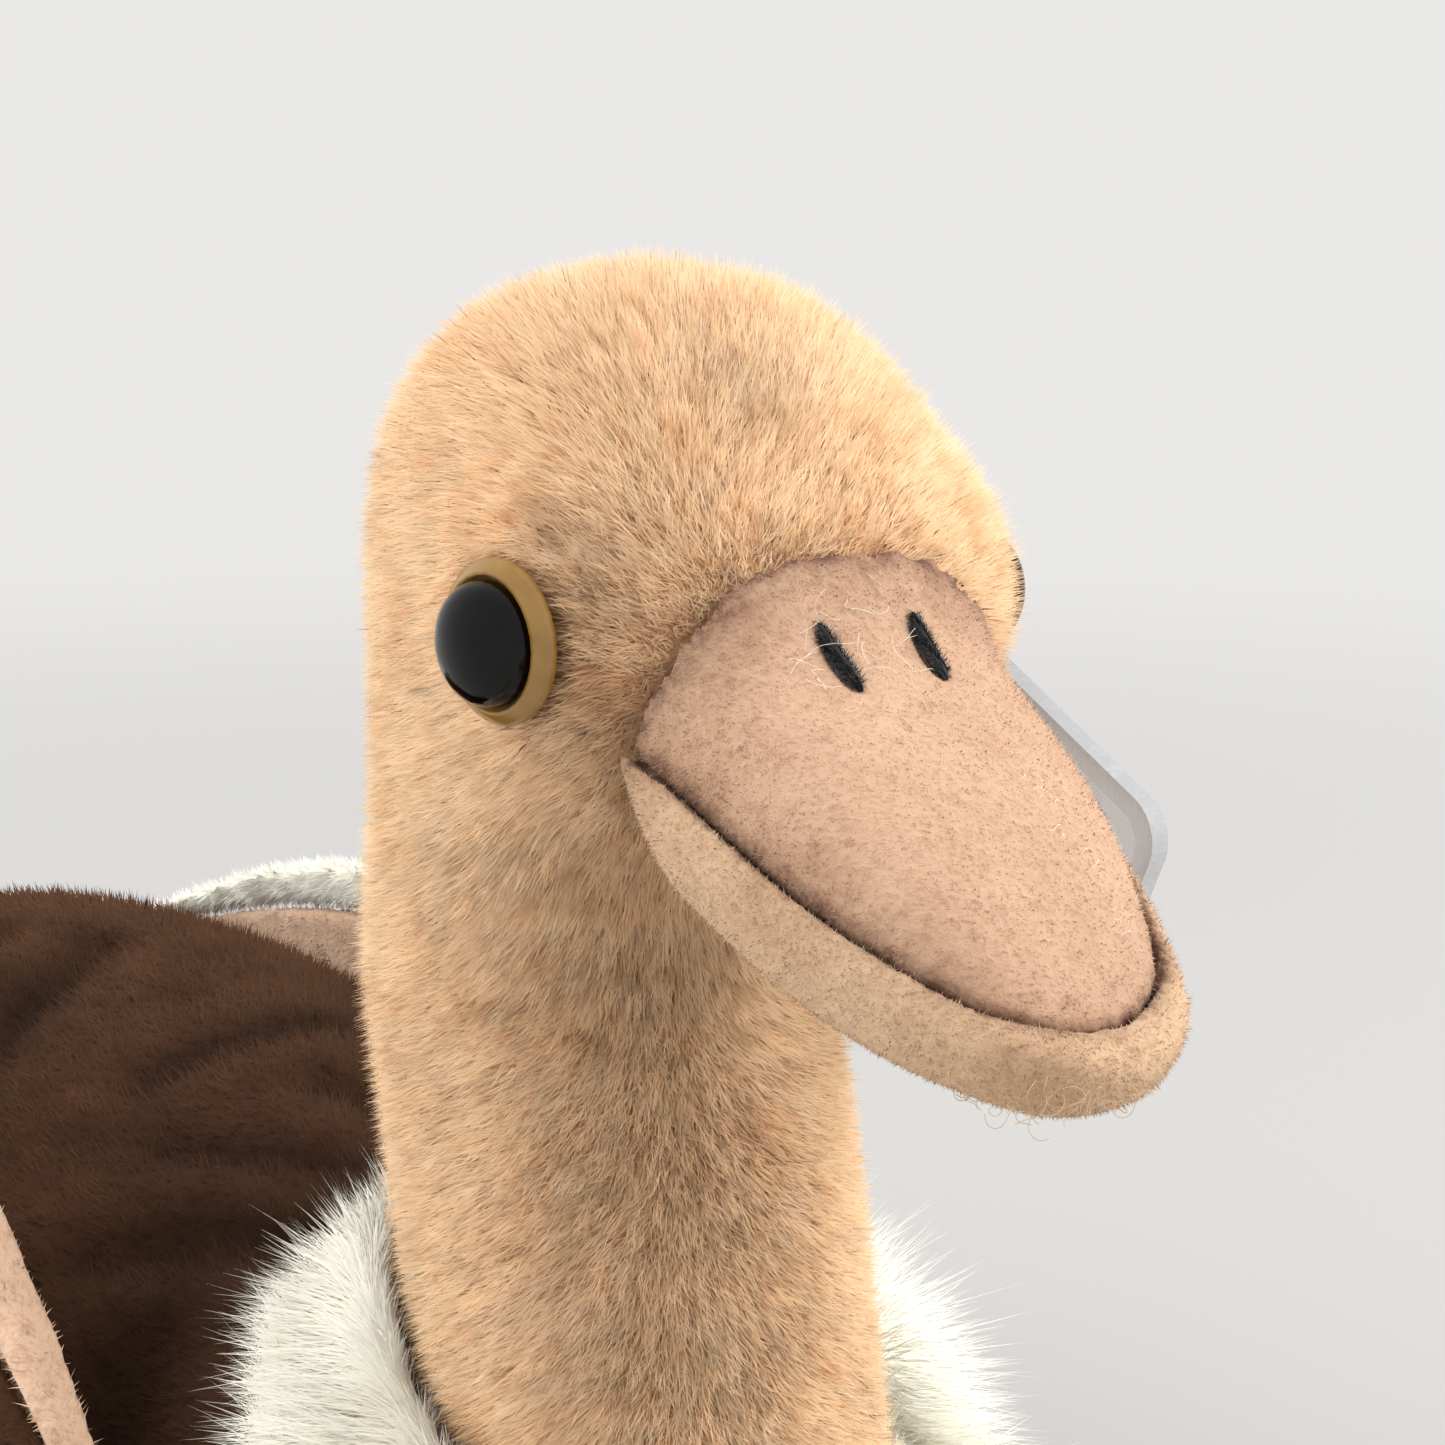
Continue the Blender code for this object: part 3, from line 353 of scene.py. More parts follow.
def film_finish():
    """Clear film, slightly grey, with scuffs that catch the light."""
    finish = Finish("clear_film", Roughness=0.2, IOR=1.3, Specular_IOR_Level=0.4)
    scuff = finish.noise(260.0, 4.0, 0.7, (1.0, 3.0, 0.6))
    rim = finish.attribute("rim")
    shade = finish.mix(scuff.ramp(0.5, 0.8) * 0.5, colour(198, 201, 206), colour(226, 228, 232))
    return finish.feed(Base_Color=shade, Roughness=0.14 + scuff * 0.25,
                       Alpha=0.30 + scuff.ramp(0.5, 0.85) * 0.16 + rim * 0.22,
                       Normal=finish.bump(scuff, 0.3, 0.0004))


# Pale and deep colour of each felt
BEAK_COLOURS = ((206, 170, 142), (186, 146, 118))
LINING_COLOURS = ((232, 198, 170), (216, 178, 150))
LIP_COLOURS = ((216, 184, 150), (196, 158, 124))

PEACH_SKIN = peach_pile_finish("peach_backing", False)
PEACH_FIBRE = peach_pile_finish("peach_fibre", True)
FELT_SKIN = felt_finish("felt", False, *BEAK_COLOURS)
FELT_FIBRE = felt_finish("felt_fibre", True, *BEAK_COLOURS)
LINING_SKIN = felt_finish("wing_lining", False, *LINING_COLOURS)
LINING_FIBRE = felt_finish("wing_lining_fibre", True, *LINING_COLOURS)
LIP_SKIN = felt_finish("lip_felt", False, *LIP_COLOURS)
LIP_FIBRE = felt_finish("lip_felt_fibre", True, *LIP_COLOURS)
BROWN_SKIN = brown_pile_finish("brown_backing", False)
BROWN_FIBRE = brown_pile_finish("brown_fibre", True)
WHITE_SKIN = white_pile_finish("white_backing", False)
WHITE_FIBRE = white_pile_finish("white_fibre", True)


def put(mesh, name, material, replaces=()):
    """Make a finished piece of the object from a mesh."""
    piece = bpy.data.objects.new(name, mesh)
    bpy.context.scene.collection.objects.link(piece)
    mesh.materials.clear()
    mesh.materials.append(material)
    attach(piece, "root")
    if replaces:
        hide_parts(*replaces)
    return piece


def settled(piece):
    """Apply a piece's modifiers to its mesh."""
    graph = bpy.context.evaluated_depsgraph_get()
    mesh = bpy.data.meshes.new_from_object(piece.evaluated_get(graph))
    piece.modifiers.clear()
    old = piece.data
    piece.data = mesh
    bpy.data.meshes.remove(old)


def node_copy(node):
    """The CAD node's shape as one closed mesh."""
    bm = bmesh.new()
    bm.from_mesh(nodes[node].data)
    bmesh.ops.remove_doubles(bm, verts=bm.verts, dist=1e-7)
    mesh = bpy.data.meshes.new(node + "_skin")
    bm.to_mesh(mesh)
    bm.free()
    return mesh


def skin(node, name, material, inset, voxel, rounds=3, swell=0.0):
    """Remeshed and softened copy of a node, pulled in to leave room for its pile.

    A stuffed piece has a swell: how far its filling may push the cloth out in the simulation."""
    piece = put(node_copy(node), name, material, (node,))
    remesh = piece.modifiers.new("remesh", "REMESH")
    remesh.mode = "VOXEL"
    remesh.voxel_size = voxel
    soft = piece.modifiers.new("soften", "SMOOTH")
    soft.factor = 0.5
    soft.iterations = rounds
    settled(piece)
    if swell:
        puff(piece, swell)
    normals = [vert.normal.copy() for vert in piece.data.vertices]
    for vert, normal in zip(piece.data.vertices, normals):
        vert.co -= normal * (inset(vert.co) if callable(inset) else inset)
    piece.data.shade_smooth()
    piece.data.update()
    return piece


def puff(piece, cap):
    """Let the filling push the sewn cloth out in a simulation, with every point's movement capped."""
    verts = piece.data.vertices
    start = [vert.co.copy() for vert in verts]
    pins = piece.vertex_groups.new(name="pins")
    pins.add([vert.index for vert in verts if vert.co.z < PINNED_BELOW], 1.0, "REPLACE")
    cloth = piece.modifiers.new("cloth", "CLOTH")
    cloth.settings.use_pressure = True
    cloth.settings.uniform_pressure_force = FILLING_PRESSURE
    cloth.settings.mass = CLOTH_MASS
    cloth.settings.tension_stiffness = CLOTH_STIFFNESS
    cloth.settings.compression_stiffness = CLOTH_STIFFNESS
    cloth.settings.shear_stiffness = CLOTH_STIFFNESS
    cloth.settings.effector_weights.gravity = 0.0
    cloth.settings.vertex_group_mass = "pins"
    for number in range(1, CLOTH_FRAMES + 1):
        bpy.context.scene.frame_set(number)
    settled(piece)
    bpy.context.scene.frame_set(1)
    piece.vertex_groups.clear()
    for vert, before in zip(piece.data.vertices, start):
        moved = vert.co - before
        if moved.length > cap:
            vert.co = before + moved * (cap / moved.length)
        vert.co.z = max(vert.co.z, 0.0)
    piece.data.update()


def note(piece, name, kind, values):
    """Store a value for each vertex of a piece."""
    field = piece.data.attributes.new(name, kind, "POINT")
    key = "vector" if kind == "FLOAT_VECTOR" else "value"
    for item, value in zip(field.data, values):
        setattr(item, key, value)


def fibre(name, joints):
    """A flat fibre of unit width that tapers along +Z from its root, marked from 0 to 1 along it."""
    bm = bmesh.new()
    grid = bmesh.ops.create_grid(bm, x_segments=1, y_segments=joints, size=0.5)
    for vert in grid["verts"]:
        t = vert.co.y + 0.5
        bend = -0.25 * t * t if joints > 1 else 0.0
        vert.co = Vector((bend, math.copysign((1 - t ** joints) / 2, vert.co.x), t))
    bmesh.ops.remove_doubles(bm, verts=bm.verts, dist=1e-6)
    mesh = bpy.data.meshes.new(name)
    bm.to_mesh(mesh)
    bm.free()
    mesh.shade_smooth()
    result = bpy.data.objects.new(name, mesh)
    along = mesh.attributes.new("along", "FLOAT", "POINT")
    for item, vert in zip(along.data, mesh.vertices):
        item.value = vert.co.z
    bpy.context.scene.collection.objects.link(result)
    return result


SHORT_FIBRE = fibre("short_fibre", 1)
LONG_FIBRE = fibre("long_fibre", 2)


def plant(name, ground, material, shape, per_mm2, length, width, seed, tuft=1.0 * MM, pull=0.4,
          wild=0.22, lean=0.8, gloss=0.35):
    """Grow pile on a skin that carries "comb", "long" and "thick" for each of its vertices.

    Fibres lean along comb, tufts gather towards shared tips, wild is how much each strays, and gloss
    is how much the tufts differ in the way that they face the light."""
    group = bpy.data.node_groups.new(name, "GeometryNodeTree")
    group.interface.new_socket("Geometry", in_out="INPUT", socket_type="NodeSocketGeometry")
    group.interface.new_socket("Geometry", in_out="OUTPUT", socket_type="NodeSocketGeometry")
    tree = Tree(group)
    ground_in = tree.add("NodeGroupInput")
    place = tree.add("GeometryNodeInputPosition")

    def noted(name, kind="FLOAT_VECTOR"):
        return tree.add("GeometryNodeInputNamedAttribute", {"data_type": kind}, {"Name": name})

    def chance(offset):
        return tree.add("FunctionNodeRandomValue", {"data_type": "FLOAT"}, {"Seed": seed + offset}, 1)

    def scatter(density, offset, spacing=None):
        settings = {"distribute_method": "POISSON" if spacing else "RANDOM"}
        values = {"Mesh": ground_in, "Seed": seed + offset}
        if spacing:
            values.update({"Distance Min": spacing, "Density Max": density, "Density Factor": 1.0})
        else:
            values["Density"] = noted("thick", "FLOAT") * density
        points = tree.add("GeometryNodeDistributePointsOnFaces", settings, values)
        normal = tree.pick(points, 1)
        heading = tree.vector("NORMALIZE", tree.vector("ADD", normal, tree.scaled(noted("comb"), lean)))
        return stored(stored(points, "up", normal), "heading", heading)

    def stored(geometry, name, value, kind="FLOAT_VECTOR"):
        return tree.add("GeometryNodeStoreNamedAttribute", {"data_type": kind, "domain": "POINT"},
                        {"Geometry": geometry, "Name": name, "Value": value})

    def anywhere(offset):
        return tree.add("FunctionNodeRandomValue", {"data_type": "FLOAT_VECTOR"},
                        {"Min": (-1.0, -1.0, -1.0), "Max": (1.0, 1.0, 1.0), "Seed": seed + offset})

    roots = scatter(per_mm2 * 1e6, 1)
    tufts = scatter(4.0 / tuft ** 2, 2, tuft)
    heading = noted("heading")
    nearest = tree.add("GeometryNodeSampleNearest", {}, {"Geometry": tufts, "Sample Position": place})

    def sampled(value):
        return tree.add("GeometryNodeSampleIndex", {"data_type": "FLOAT_VECTOR"},
                        {"Geometry": tufts, "Value": value, "Index": nearest})

    reach = noted("long", "FLOAT") * length * (0.72 + 0.5 * chance(3))
    own_tip = tree.scaled(heading, reach)
    tuft_tip = tree.vector("ADD", sampled(place), tree.scaled(sampled(heading), reach))
    shared_tip = tree.vector("SUBTRACT", tuft_tip, place)
    stray = anywhere(4)
    tip = tree.vector("ADD", tree.scaled(own_tip, 1.0 - pull), tree.scaled(shared_tip, pull))
    tip = tree.vector("ADD", tip, tree.scaled(stray, reach * wild))
    upright = tree.add("FunctionNodeAlignRotationToVector", {"axis": "Z"}, {"Vector": tip})
    up = noted("up")
    turned = tree.add("FunctionNodeAlignRotationToVector", {"axis": "X", "pivot_axis": "Z"},
                      {"Rotation": upright, "Vector": up})
    girth = width * (0.75 + 0.5 * chance(6))
    size = tree.add("ShaderNodeCombineXYZ", {},
                    {"X": girth, "Y": girth, "Z": tree.vector("LENGTH", tip, output=1)})
    facing = tree.vector("ADD", up, tree.scaled(sampled(anywhere(8)), gloss))
    facing = tree.vector("ADD", facing, tree.scaled(anywhere(9), gloss * 0.5))
    tone = tree.add("ShaderNodeSeparateXYZ", {}, {"Vector": sampled(anywhere(10))}) * 0.3 + 0.3
    tinted = stored(roots, "tint", tone + chance(7) * 0.4, "FLOAT")
    rooted = stored(stored(tinted, "root", place), "facing", tree.vector("NORMALIZE", facing))
    strand = tree.add("GeometryNodeObjectInfo", {"transform_space": "ORIGINAL"}, {"Object": shape},
                      "Geometry")
    planted = tree.add("GeometryNodeInstanceOnPoints", {},
                       {"Points": rooted, "Instance": strand, "Rotation": turned, "Scale": size})
    grown = tree.add("GeometryNodeRealizeInstances", {}, {"Geometry": planted})
    split = tree.add("ShaderNodeSeparateXYZ", {}, {"Vector": place})
    above = split.maths("MAXIMUM", tree.pick(split, 2), FLOOR_CLEARANCE)
    stood = tree.add("ShaderNodeCombineXYZ", {}, {"X": split, "Y": tree.pick(split, 1), "Z": above})
    grown = tree.add("GeometryNodeSetPosition", {}, {"Geometry": grown, "Position": stood})
    grown = tree.add("GeometryNodeSetMeshNormal", {"mode": "FREE", "domain": "POINT"},
                     {"Mesh": grown, "Custom Normal": noted("facing")})

    # The pile's UV map: where each fibre's root lies, seen from the side and from above
    split = tree.add("ShaderNodeSeparateXYZ", {}, {"Vector": noted("root")})
    middle, half = spread_of(ground)
    around = split.maths("ARCTAN2", tree.pick(split, 1) - middle.y, tree.pick(split, 0) - middle.x)
    across = (around * (MAP_SPAN / math.tau) + 0.5) + noted("along", "FLOAT") * MAP_FIBRE
    height = (tree.pick(split, 2) - (middle.z - half.z)) * (MAP_SPAN / (2 * half.z)) + (1 - MAP_SPAN) / 2
    flat = tree.add("ShaderNodeCombineXYZ", {}, {"X": across, "Y": height})
    mapped = tree.add("GeometryNodeStoreNamedAttribute", {"data_type": "FLOAT2", "domain": "CORNER"},
                      {"Geometry": grown, "Name": "OFBake", "Value": flat})
    tree.add("NodeGroupOutput", {}, {"Geometry": mapped})

    pile = put(ground.data.copy(), name, material)
    pile.modifiers.new("plant", "NODES").node_group = group
    settled(pile)
    pile.data.materials.clear()
    pile.data.materials.append(material)
    for spare in ("comb", "long", "thick", "heading", "root", "up", "facing"):
        if spare in pile.data.attributes:
            pile.data.attributes.remove(pile.data.attributes[spare])
    return pile


def spread_of(piece):
    """Middle and half extent of a piece's mesh."""
    corners = [vert.co for vert in piece.data.vertices]
    low = Vector([min(c[i] for c in corners) for i in range(3)])
    high = Vector([max(c[i] for c in corners) for i in range(3)])
    return (low + high) / 2, (high - low) / 2


def head_place(x, y, z):
    """A place on the turned head, from millimetres on the head before its turn."""
    return NECK_ROOT + Matrix.Rotation(HEAD_TURN, 3, "Z") @ (Vector((x, y, z)) * MM - NECK_ROOT)


def clamped(value):
    """A value kept between 0 and 1."""
    return max(0.0, min(1.0, value))


def near(point, centre, radius, fade):
    """1 within radius of a place and 0 beyond the fade outside it."""
    return clamped(1 - ((point - centre).length - radius) / fade)


def along_surface(direction, normal):
    """A direction laid flat on the surface."""
    flat = direction - normal * direction.dot(normal)
    return flat.normalized() if flat.length > 1e-6 else Vector((0.0, 0.0, -1.0))


def trees_of(*names):
    """Search trees of CAD nodes."""
    trees = []
    for name in names:
        bm = bmesh.new()
        bm.from_mesh(nodes[name].data)
        trees.append(BVHTree.FromBMesh(bm))
        bm.free()
    return trees


def distance_to(trees, point):
    """Distance from a place to the nearest of some nodes."""
    found = [tree.find_nearest(point)[3] for tree in trees]
    return min(item for item in found if item is not None)


def covered(trees, point, normal, reach):
    """Whether another piece lies right outside this place."""
    return any(tree.ray_cast(point + normal * 0.05 * MM, normal, reach)[0] is not None for tree in trees)


def middle_of(node):
    """Mean of a node's corners, which lies on the axis of a turned piece."""
    corners = [vert.co for vert in nodes[node].data.vertices]
    return sum(corners, Vector()) / len(corners)


def comb_head(point, normal):
    """Pile runs away from the beak over the face, and down the neck."""
    away = point - head_place(*BEAK_ROOT)
    fall = Vector((0.0, 0.9, -1.0))
    blend = clamped((away.length - FACE_REACH) / FACE_FADE)
    swirl = noise.noise_vector(point * 130.0) * 0.5
    return along_surface(away.normalized().lerp(fall, blend) + swirl, normal)


def comb_out(point, normal):
    """The collar's pile falls outward and down all round the neck."""
    away = point - NECK_ROOT
    outward = Vector((away.x, away.y, 0.0)).normalized()
    fall = outward * 0.6 + Vector((0.0, 0.0, -0.8))
    rise = Vector((0.0, 0.0, 1.0)) - outward * 0.2
    by_neck = clamped(1 - (distance_to(NECK_TREES, point) - 0.5 * MM) / (5.0 * MM))
    return along_surface(fall.lerp(rise, by_neck) + noise.noise_vector(point * 90.0) * 0.5, normal)


def comb_forward(point, normal):
    """Down the legs, towards the feet."""
    return along_surface(Vector((0.0, -1.0, -0.2)) + noise.noise_vector(point * 120.0) * 0.4, normal)


def comb_back(point, normal):
    """Back along the part and slightly down."""
    return along_surface(Vector((0.0, 1.0, -0.3)) + noise.noise_vector(point * 60.0) * 0.4, normal)


def groom(piece, comb, long=None, thick=None, hidden_by=(), reach=5 * MM, painted_shade_and_mottle=None):
    """Write the pile's direction, length, density and its painted shade, with the head's one real mottle,
    on a skin.
    """
    trees = trees_of(*hidden_by)
    verts = piece.data.vertices
    piece.data.update()
    note(piece, "comb", "FLOAT_VECTOR", [comb(v.co, v.normal) for v in verts])
    note(piece, "long", "FLOAT", [long(v.co) if long else 1.0 for v in verts])
    note(piece, "thick", "FLOAT",
         [0.0 if covered(trees, v.co, v.normal, reach) else (thick(v.co) if thick else 1.0)
          for v in verts])
    note(piece, "painted_shade_and_mottle", "FLOAT", [painted_shade_and_mottle(v.co) if painted_shade_and_mottle else 0.0 for v in verts])


def seen_at(pixel, node):
    """Place on a node that the photograph shows at a pixel."""
    across, down = (value / PHOTO_SIDE - 0.5 for value in pixel)
    sight = FORWARD + (RIGHT * across - UP * down) * (CAMERA_SENSOR / CAMERA_LENS)
    return trees_of(node)[0].ray_cast(CAMERA_PLACE, sight.normalized())[0]


def beside(point, start, end):
    """Distance from a place to the stretch between two others."""
    run = end - start
    along = clamped((point - start).dot(run) / run.dot(run))
    return (point - start - run * along).length


def refined(node, name, material, angle, levels=0):
    """A node's own shape with merged corners and smooth shading up to an angle."""
    piece = put(node_copy(node), name, material, (node,))
    if levels:
        finer = piece.modifiers.new("finer", "SUBSURF")
        finer.levels = levels
        finer.render_levels = levels
        settled(piece)
    piece.data.shade_smooth()
    piece.data.set_sharp_from_angle(angle=math.radians(angle))
    return piece


# Head and neck
EYES = [middle_of("right_pupil"), middle_of("left_pupil")]
BEAK_TREES = trees_of("upper_beak", "lower_beak")


def by_eye(point):
    """How close a place lies to an eye, from 0 to 1."""
    return max(near(point, eye, 6.2 * MM, 4 * MM) for eye in EYES)


def by_beak(point):
    """How close a place lies to the beak, from 0 to 1."""
    return clamped(1 - (distance_to(BEAK_TREES, point) - 1.2 * MM) / (4 * MM))


def far_cheek(point):
    """The fuller cheek that hides most of the far eye in the photograph."""
    return near(point, EYES[1], 8 * MM, 5 * MM)


def head_inset(point):
    """Room for the pile, less of it on the face and on the fuller cheek."""
    face = (HEAD_PILE - FACE_PILE) * max(by_eye(point), by_beak(point))
    return max(0.0, HEAD_PILE - face - FULL_CHEEK * far_cheek(point))


SHADE_AND_MOTTLE_SPOTS = [(seen_at(pixel, "head_neck"), radius * MM, strength)
         for pixel, radius, strength in SHADE_AND_MOTTLE_PLACES]


def head_shade_and_mottle(point):
    """How much painted shade the pile gets in its hollows at the places above, round the eyes and along
    the beak's seam; the forehead place is a real brown mottle.
    """
    # painted shade at the places above, and the real brown mottle on the forehead
    spots = max(strength * near(point, place, 0.0, 1.6 * radius)
                for place, radius, strength in SHADE_AND_MOTTLE_SPOTS if place)
    # painted shade along the beak's seam
    seam = 0.5 * max(0.0, 1 - (distance_to(BEAK_TREES, point) - 0.4 * MM) / (2.0 * MM))
    # painted shade round the rims of the eyes
    rim = 0.5 * max(near(point, eye, 5.6 * MM, 1.6 * MM) for eye in EYES)
    return max(spots, seam, rim)


head = skin("head_neck", "head_neck_skin", PEACH_SKIN, head_inset, 1.2 * MM,
            swell=0.4 * MM)
# the head's painted shade and its one real mottle go onto the skin here
groom(head, comb_head, lambda p: 1 - 0.35 * max(by_eye(p), by_beak(p)) * (1 - far_cheek(p)),
      hidden_by=("upper_beak", "lower_beak", "right_eye", "left_eye", "right_pupil", "left_pupil",
                 "collar", "body"),
      reach=2.2 * MM, painted_shade_and_mottle=head_shade_and_mottle)
for letter, seed in (("a", 10), ("b", 30), ("c", 50)):
    plant("head_pile_" + letter, head, PEACH_FIBRE, SHORT_FIBRE, 17.0, 1.9 * MM,
          0.12 * MM, seed, tuft=1.2 * MM, pull=0.55, wild=0.38, lean=0.6, gloss=0.4)

# Beak
SEAMS = {"upper_beak": trees_of("lower_beak", "head_neck"),
         "lower_beak": trees_of("upper_beak", "head_neck")}


def beak_inset(node):
    """The two halves meet at their stitched seam, so that only a narrow fold stays between them."""
    def inset(point):
        closing = clamped(1 - distance_to(SEAMS[node], point) / SEAM_REACH)
        return FELT - (FELT + SEAM_CLOSING) * closing
    return inset


def painted_seam_shade(node, piece):
    """How deep each corner of a half lies in the beak's seams, from 0 to 1, which sets the painted shade
    in them.
    """
    return [clamped(1 - (distance_to(SEAMS[node], v.co) - 0.4 * MM) / (0.8 * MM))
            for v in piece.data.vertices]


def beak_painted_shade(node):
    """Painted shade on the felt, stronger towards its seams."""
    return lambda point: 0.8 * clamped(1 - distance_to(SEAMS[node], point) / (3.5 * MM))


NOSTRIL_TREES = trees_of("right_nostril", "left_nostril")


def beak_pile(point):
    """The felt's fuzz stops at the stitches of the nostrils and thins out in the creases."""
    stitches = clamped((distance_to(NOSTRIL_TREES, point) - 0.3 * MM) / (0.4 * MM))
    seams = min(distance_to(SEAMS["upper_beak"], point), distance_to(SEAMS["lower_beak"], point))
    return stitches * min(1.0, 0.3 + seams / (1.2 * MM))


BEAK_HALVES = (
    ("upper_beak", "lower_beak", "beak_top", FELT_SKIN, FELT_FIBRE, "beak_felt", 101),
    ("lower_beak", "upper_beak", "beak_lip", LIP_SKIN, LIP_FIBRE, "peach_pile", 121),
)
for node, other, name, cloth, fuzz, slot, seed in BEAK_HALVES:
    half = skin(node, name, cloth, beak_inset(node), 0.42 * MM, 2, swell=0.15 * MM)
    # depth in the seams, for the painted shade there
    note(half, "painted_seam_shade", "FLOAT", painted_seam_shade(node, half))
    groom(half, comb_back, hidden_by=("head_neck", other), reach=0.4 * MM, painted_shade_and_mottle=beak_painted_shade(node),
          long=beak_pile, thick=beak_pile)
    plant(name + "_fuzz", half, fuzz, SHORT_FIBRE, 48.0, 0.5 * MM, 0.07 * MM, seed,
          tuft=0.7 * MM, pull=0.3, wild=0.9, lean=0.5, gloss=0.5)

# Eyes, nostrils and tag
AMBER = amber_finish()
PUPIL = pupil_finish()
THREAD = thread_finish()
MILKY = moulded_finish()
FILM = film_finish()
for side, start in (("right", 400), ("left", 420)):
    refined(side + "_eye", side + "_eye_ring", AMBER, 40)
    refined(side + "_pupil", side + "_pupil_dome", PUPIL, 40)
    stitch = refined(side + "_nostril", side + "_nostril_stitch", THREAD, 60, 1)
    groom(stitch, comb_back, hidden_by=("upper_beak",), reach=0.5 * MM)
    plant(side + "_nostril_fuzz", stitch, THREAD, SHORT_FIBRE, 70.0, 0.45 * MM,
          0.07 * MM, start, tuft=0.4 * MM, pull=0.2, wild=0.6, lean=1.2, gloss=0.3)
    refined(side + "_eye_washer", side + "_lock_washer", MILKY, 35)
refined("tag_pin", "sleeve_pin", MILKY, 35)
film = refined("tag_sleeve", "clear_sleeve", FILM, 25)
FILM_ACROSS = Matrix.Rotation(HEAD_TURN, 3, "Z") @ Vector((1.0, 0.0, 0.0))
FILM_MIDDLE = spread_of(film)[0].dot(FILM_ACROSS)
note(film, "rim", "FLOAT", [1.0 if abs(v.co.dot(FILM_ACROSS) - FILM_MIDDLE) > 0.5 * MM else 0.0
                            for v in film.data.vertices])


HAIR_JOINTS = 14


def loose_hairs(name, starts, material, length, curl, girth, seed, rise=1.0):
    """Single fibres that have worked loose: each a fine curl from a root.

    With a rise of 1 it starts straight out of the surface, and with less it lies flatter."""
    chance = random.Random(seed)
    curve = bpy.data.curves.new(name, "CURVE")
    curve.dimensions = "3D"
    curve.bevel_depth = girth / 2
    curve.bevel_resolution = 0
    curve.use_fill_caps = True
    for start, out in starts:
        spline = curve.splines.new("POLY")
        spline.points.add(HAIR_JOINTS - 1)
        place = start.copy()
        turn = Vector([chance.uniform(-1, 1) for _ in range(3)])
        heading = (out * rise + along_surface(turn, out) * (1 - rise)).normalized()
        step = length * chance.uniform(0.5, 1.2) / HAIR_JOINTS
        for point in spline.points:
            point.co = (*place, 1.0)
            turn = (turn + Vector([chance.uniform(-1, 1) for _ in range(3)]) * 0.5).normalized()
            heading = (heading + heading.cross(turn) * curl).normalized()
            place = place + heading * step
    shape = bpy.data.objects.new(name + "_curve", curve)
    bpy.context.scene.collection.objects.link(shape)
    graph = bpy.context.evaluated_depsgraph_get()
    mesh = bpy.data.meshes.new_from_object(shape.evaluated_get(graph))
    bpy.data.objects.remove(shape)
    put(mesh, name, material)


def rooted(pixels, node, spread, seed):
    """Roots of loose hairs about some pixels of the photograph, with the way out of the node at each."""
    chance = random.Random(seed)
    tree = trees_of(node)[0]
    found = []
    for pixel in pixels:
        aim = (pixel[0] + chance.uniform(-spread, spread), pixel[1] + chance.uniform(-spread, spread))
        place = seen_at(aim, node)
        if place:
            found.append((place, tree.find_nearest(place)[1]))
    return found


WISP = white_pile_finish("pale_wisp", False)

# The beak's lip in the photograph's pixels: its ends, the level of its ends, its sag and its wave
LIP_LEFT = 860
LIP_RIGHT = 1160
LIP_LEVEL = 1075
LIP_SAG = 28
LIP_WAVE = 330
UNDER_LIP = [(x, LIP_LEVEL + LIP_SAG * math.sin((x - LIP_LEFT) / LIP_WAVE * math.pi))
             for x in range(LIP_LEFT, LIP_RIGHT, 9)]
loose_hairs("beak_lip_wisps", rooted(UNDER_LIP * 2, "lower_beak", 8, 5), LIP_FIBRE,
            2.8 * MM, 0.35, 0.045 * MM, 6)

# Pixels round the near nostril, where pale fibres lie on the felt
NOSTRIL_WISPS = [(830, 680), (850, 700), (815, 655), (838, 690), (905, 650), (925, 680),
                 (842, 610), (870, 640), (800, 640), (880, 600), (830, 620), (860, 660)]
loose_hairs("beak_top_wisps", rooted(NOSTRIL_WISPS * 2, "upper_beak", 14, 7), WISP,
            3.2 * MM, 0.2, 0.03 * MM, 8, 0.3)

# The far edge of the beak's top: the pixel it starts at, and how far across it goes for each one down
FAR_EDGE_TOP = (1020, 760)
FAR_EDGE_SLOPE = 0.62
FAR_EDGE = [(FAR_EDGE_TOP[0] + FAR_EDGE_SLOPE * step, FAR_EDGE_TOP[1] + step)
            for step in range(0, 200, 16)]
loose_hairs("beak_edge_wisps", rooted(FAR_EDGE, "upper_beak", 6, 9), WISP, 2.0 * MM,
            0.5, 0.035 * MM, 10, 0.6)

# Body
FOLD_ENDS = [(seen_at(start, "body"), seen_at(end, "body"), depth * MM, width * MM)
             for start, end, depth, width in BODY_FOLDS]
FOLD_ENDS = [fold for fold in FOLD_ENDS if fold[0] and fold[1]]


def folded(point):
    """How far a place lies into each fold of the body's cloth, from 0 to 1."""
    return [(depth, math.exp(-((beside(point, start, end) / width) ** 2)))
            for start, end, depth, width in FOLD_ENDS]


body = skin("body", "body_skin", BROWN_SKIN,
            lambda p: NAP + sum(depth * share for depth, share in folded(p)), 2.0 * MM, swell=1.0 * MM)
# painted shade along the folds of the body's cloth
groom(body, comb_back, hidden_by=("head_neck", "tail", "right_leg", "left_leg"), reach=2 * MM,
      painted_shade_and_mottle=lambda p: min(1.0, max([share for depth, share in folded(p)] + [0.0])))
plant("body_nap", body, BROWN_FIBRE, SHORT_FIBRE, 4.0, 1.3 * MM, 0.16 * MM, 141,
      tuft=2.0 * MM, pull=0.2, wild=0.4, gloss=0.25)

# Collar and tail of long white pile
NECK_TREES = trees_of("head_neck", "body")


def collar_inset(point):
    """Full pile outside, and none where the collar lies against the neck and the shoulders."""
    return COLLAR_PILE * clamped((distance_to(NECK_TREES, point) - 0.6 * MM) / (4 * MM))


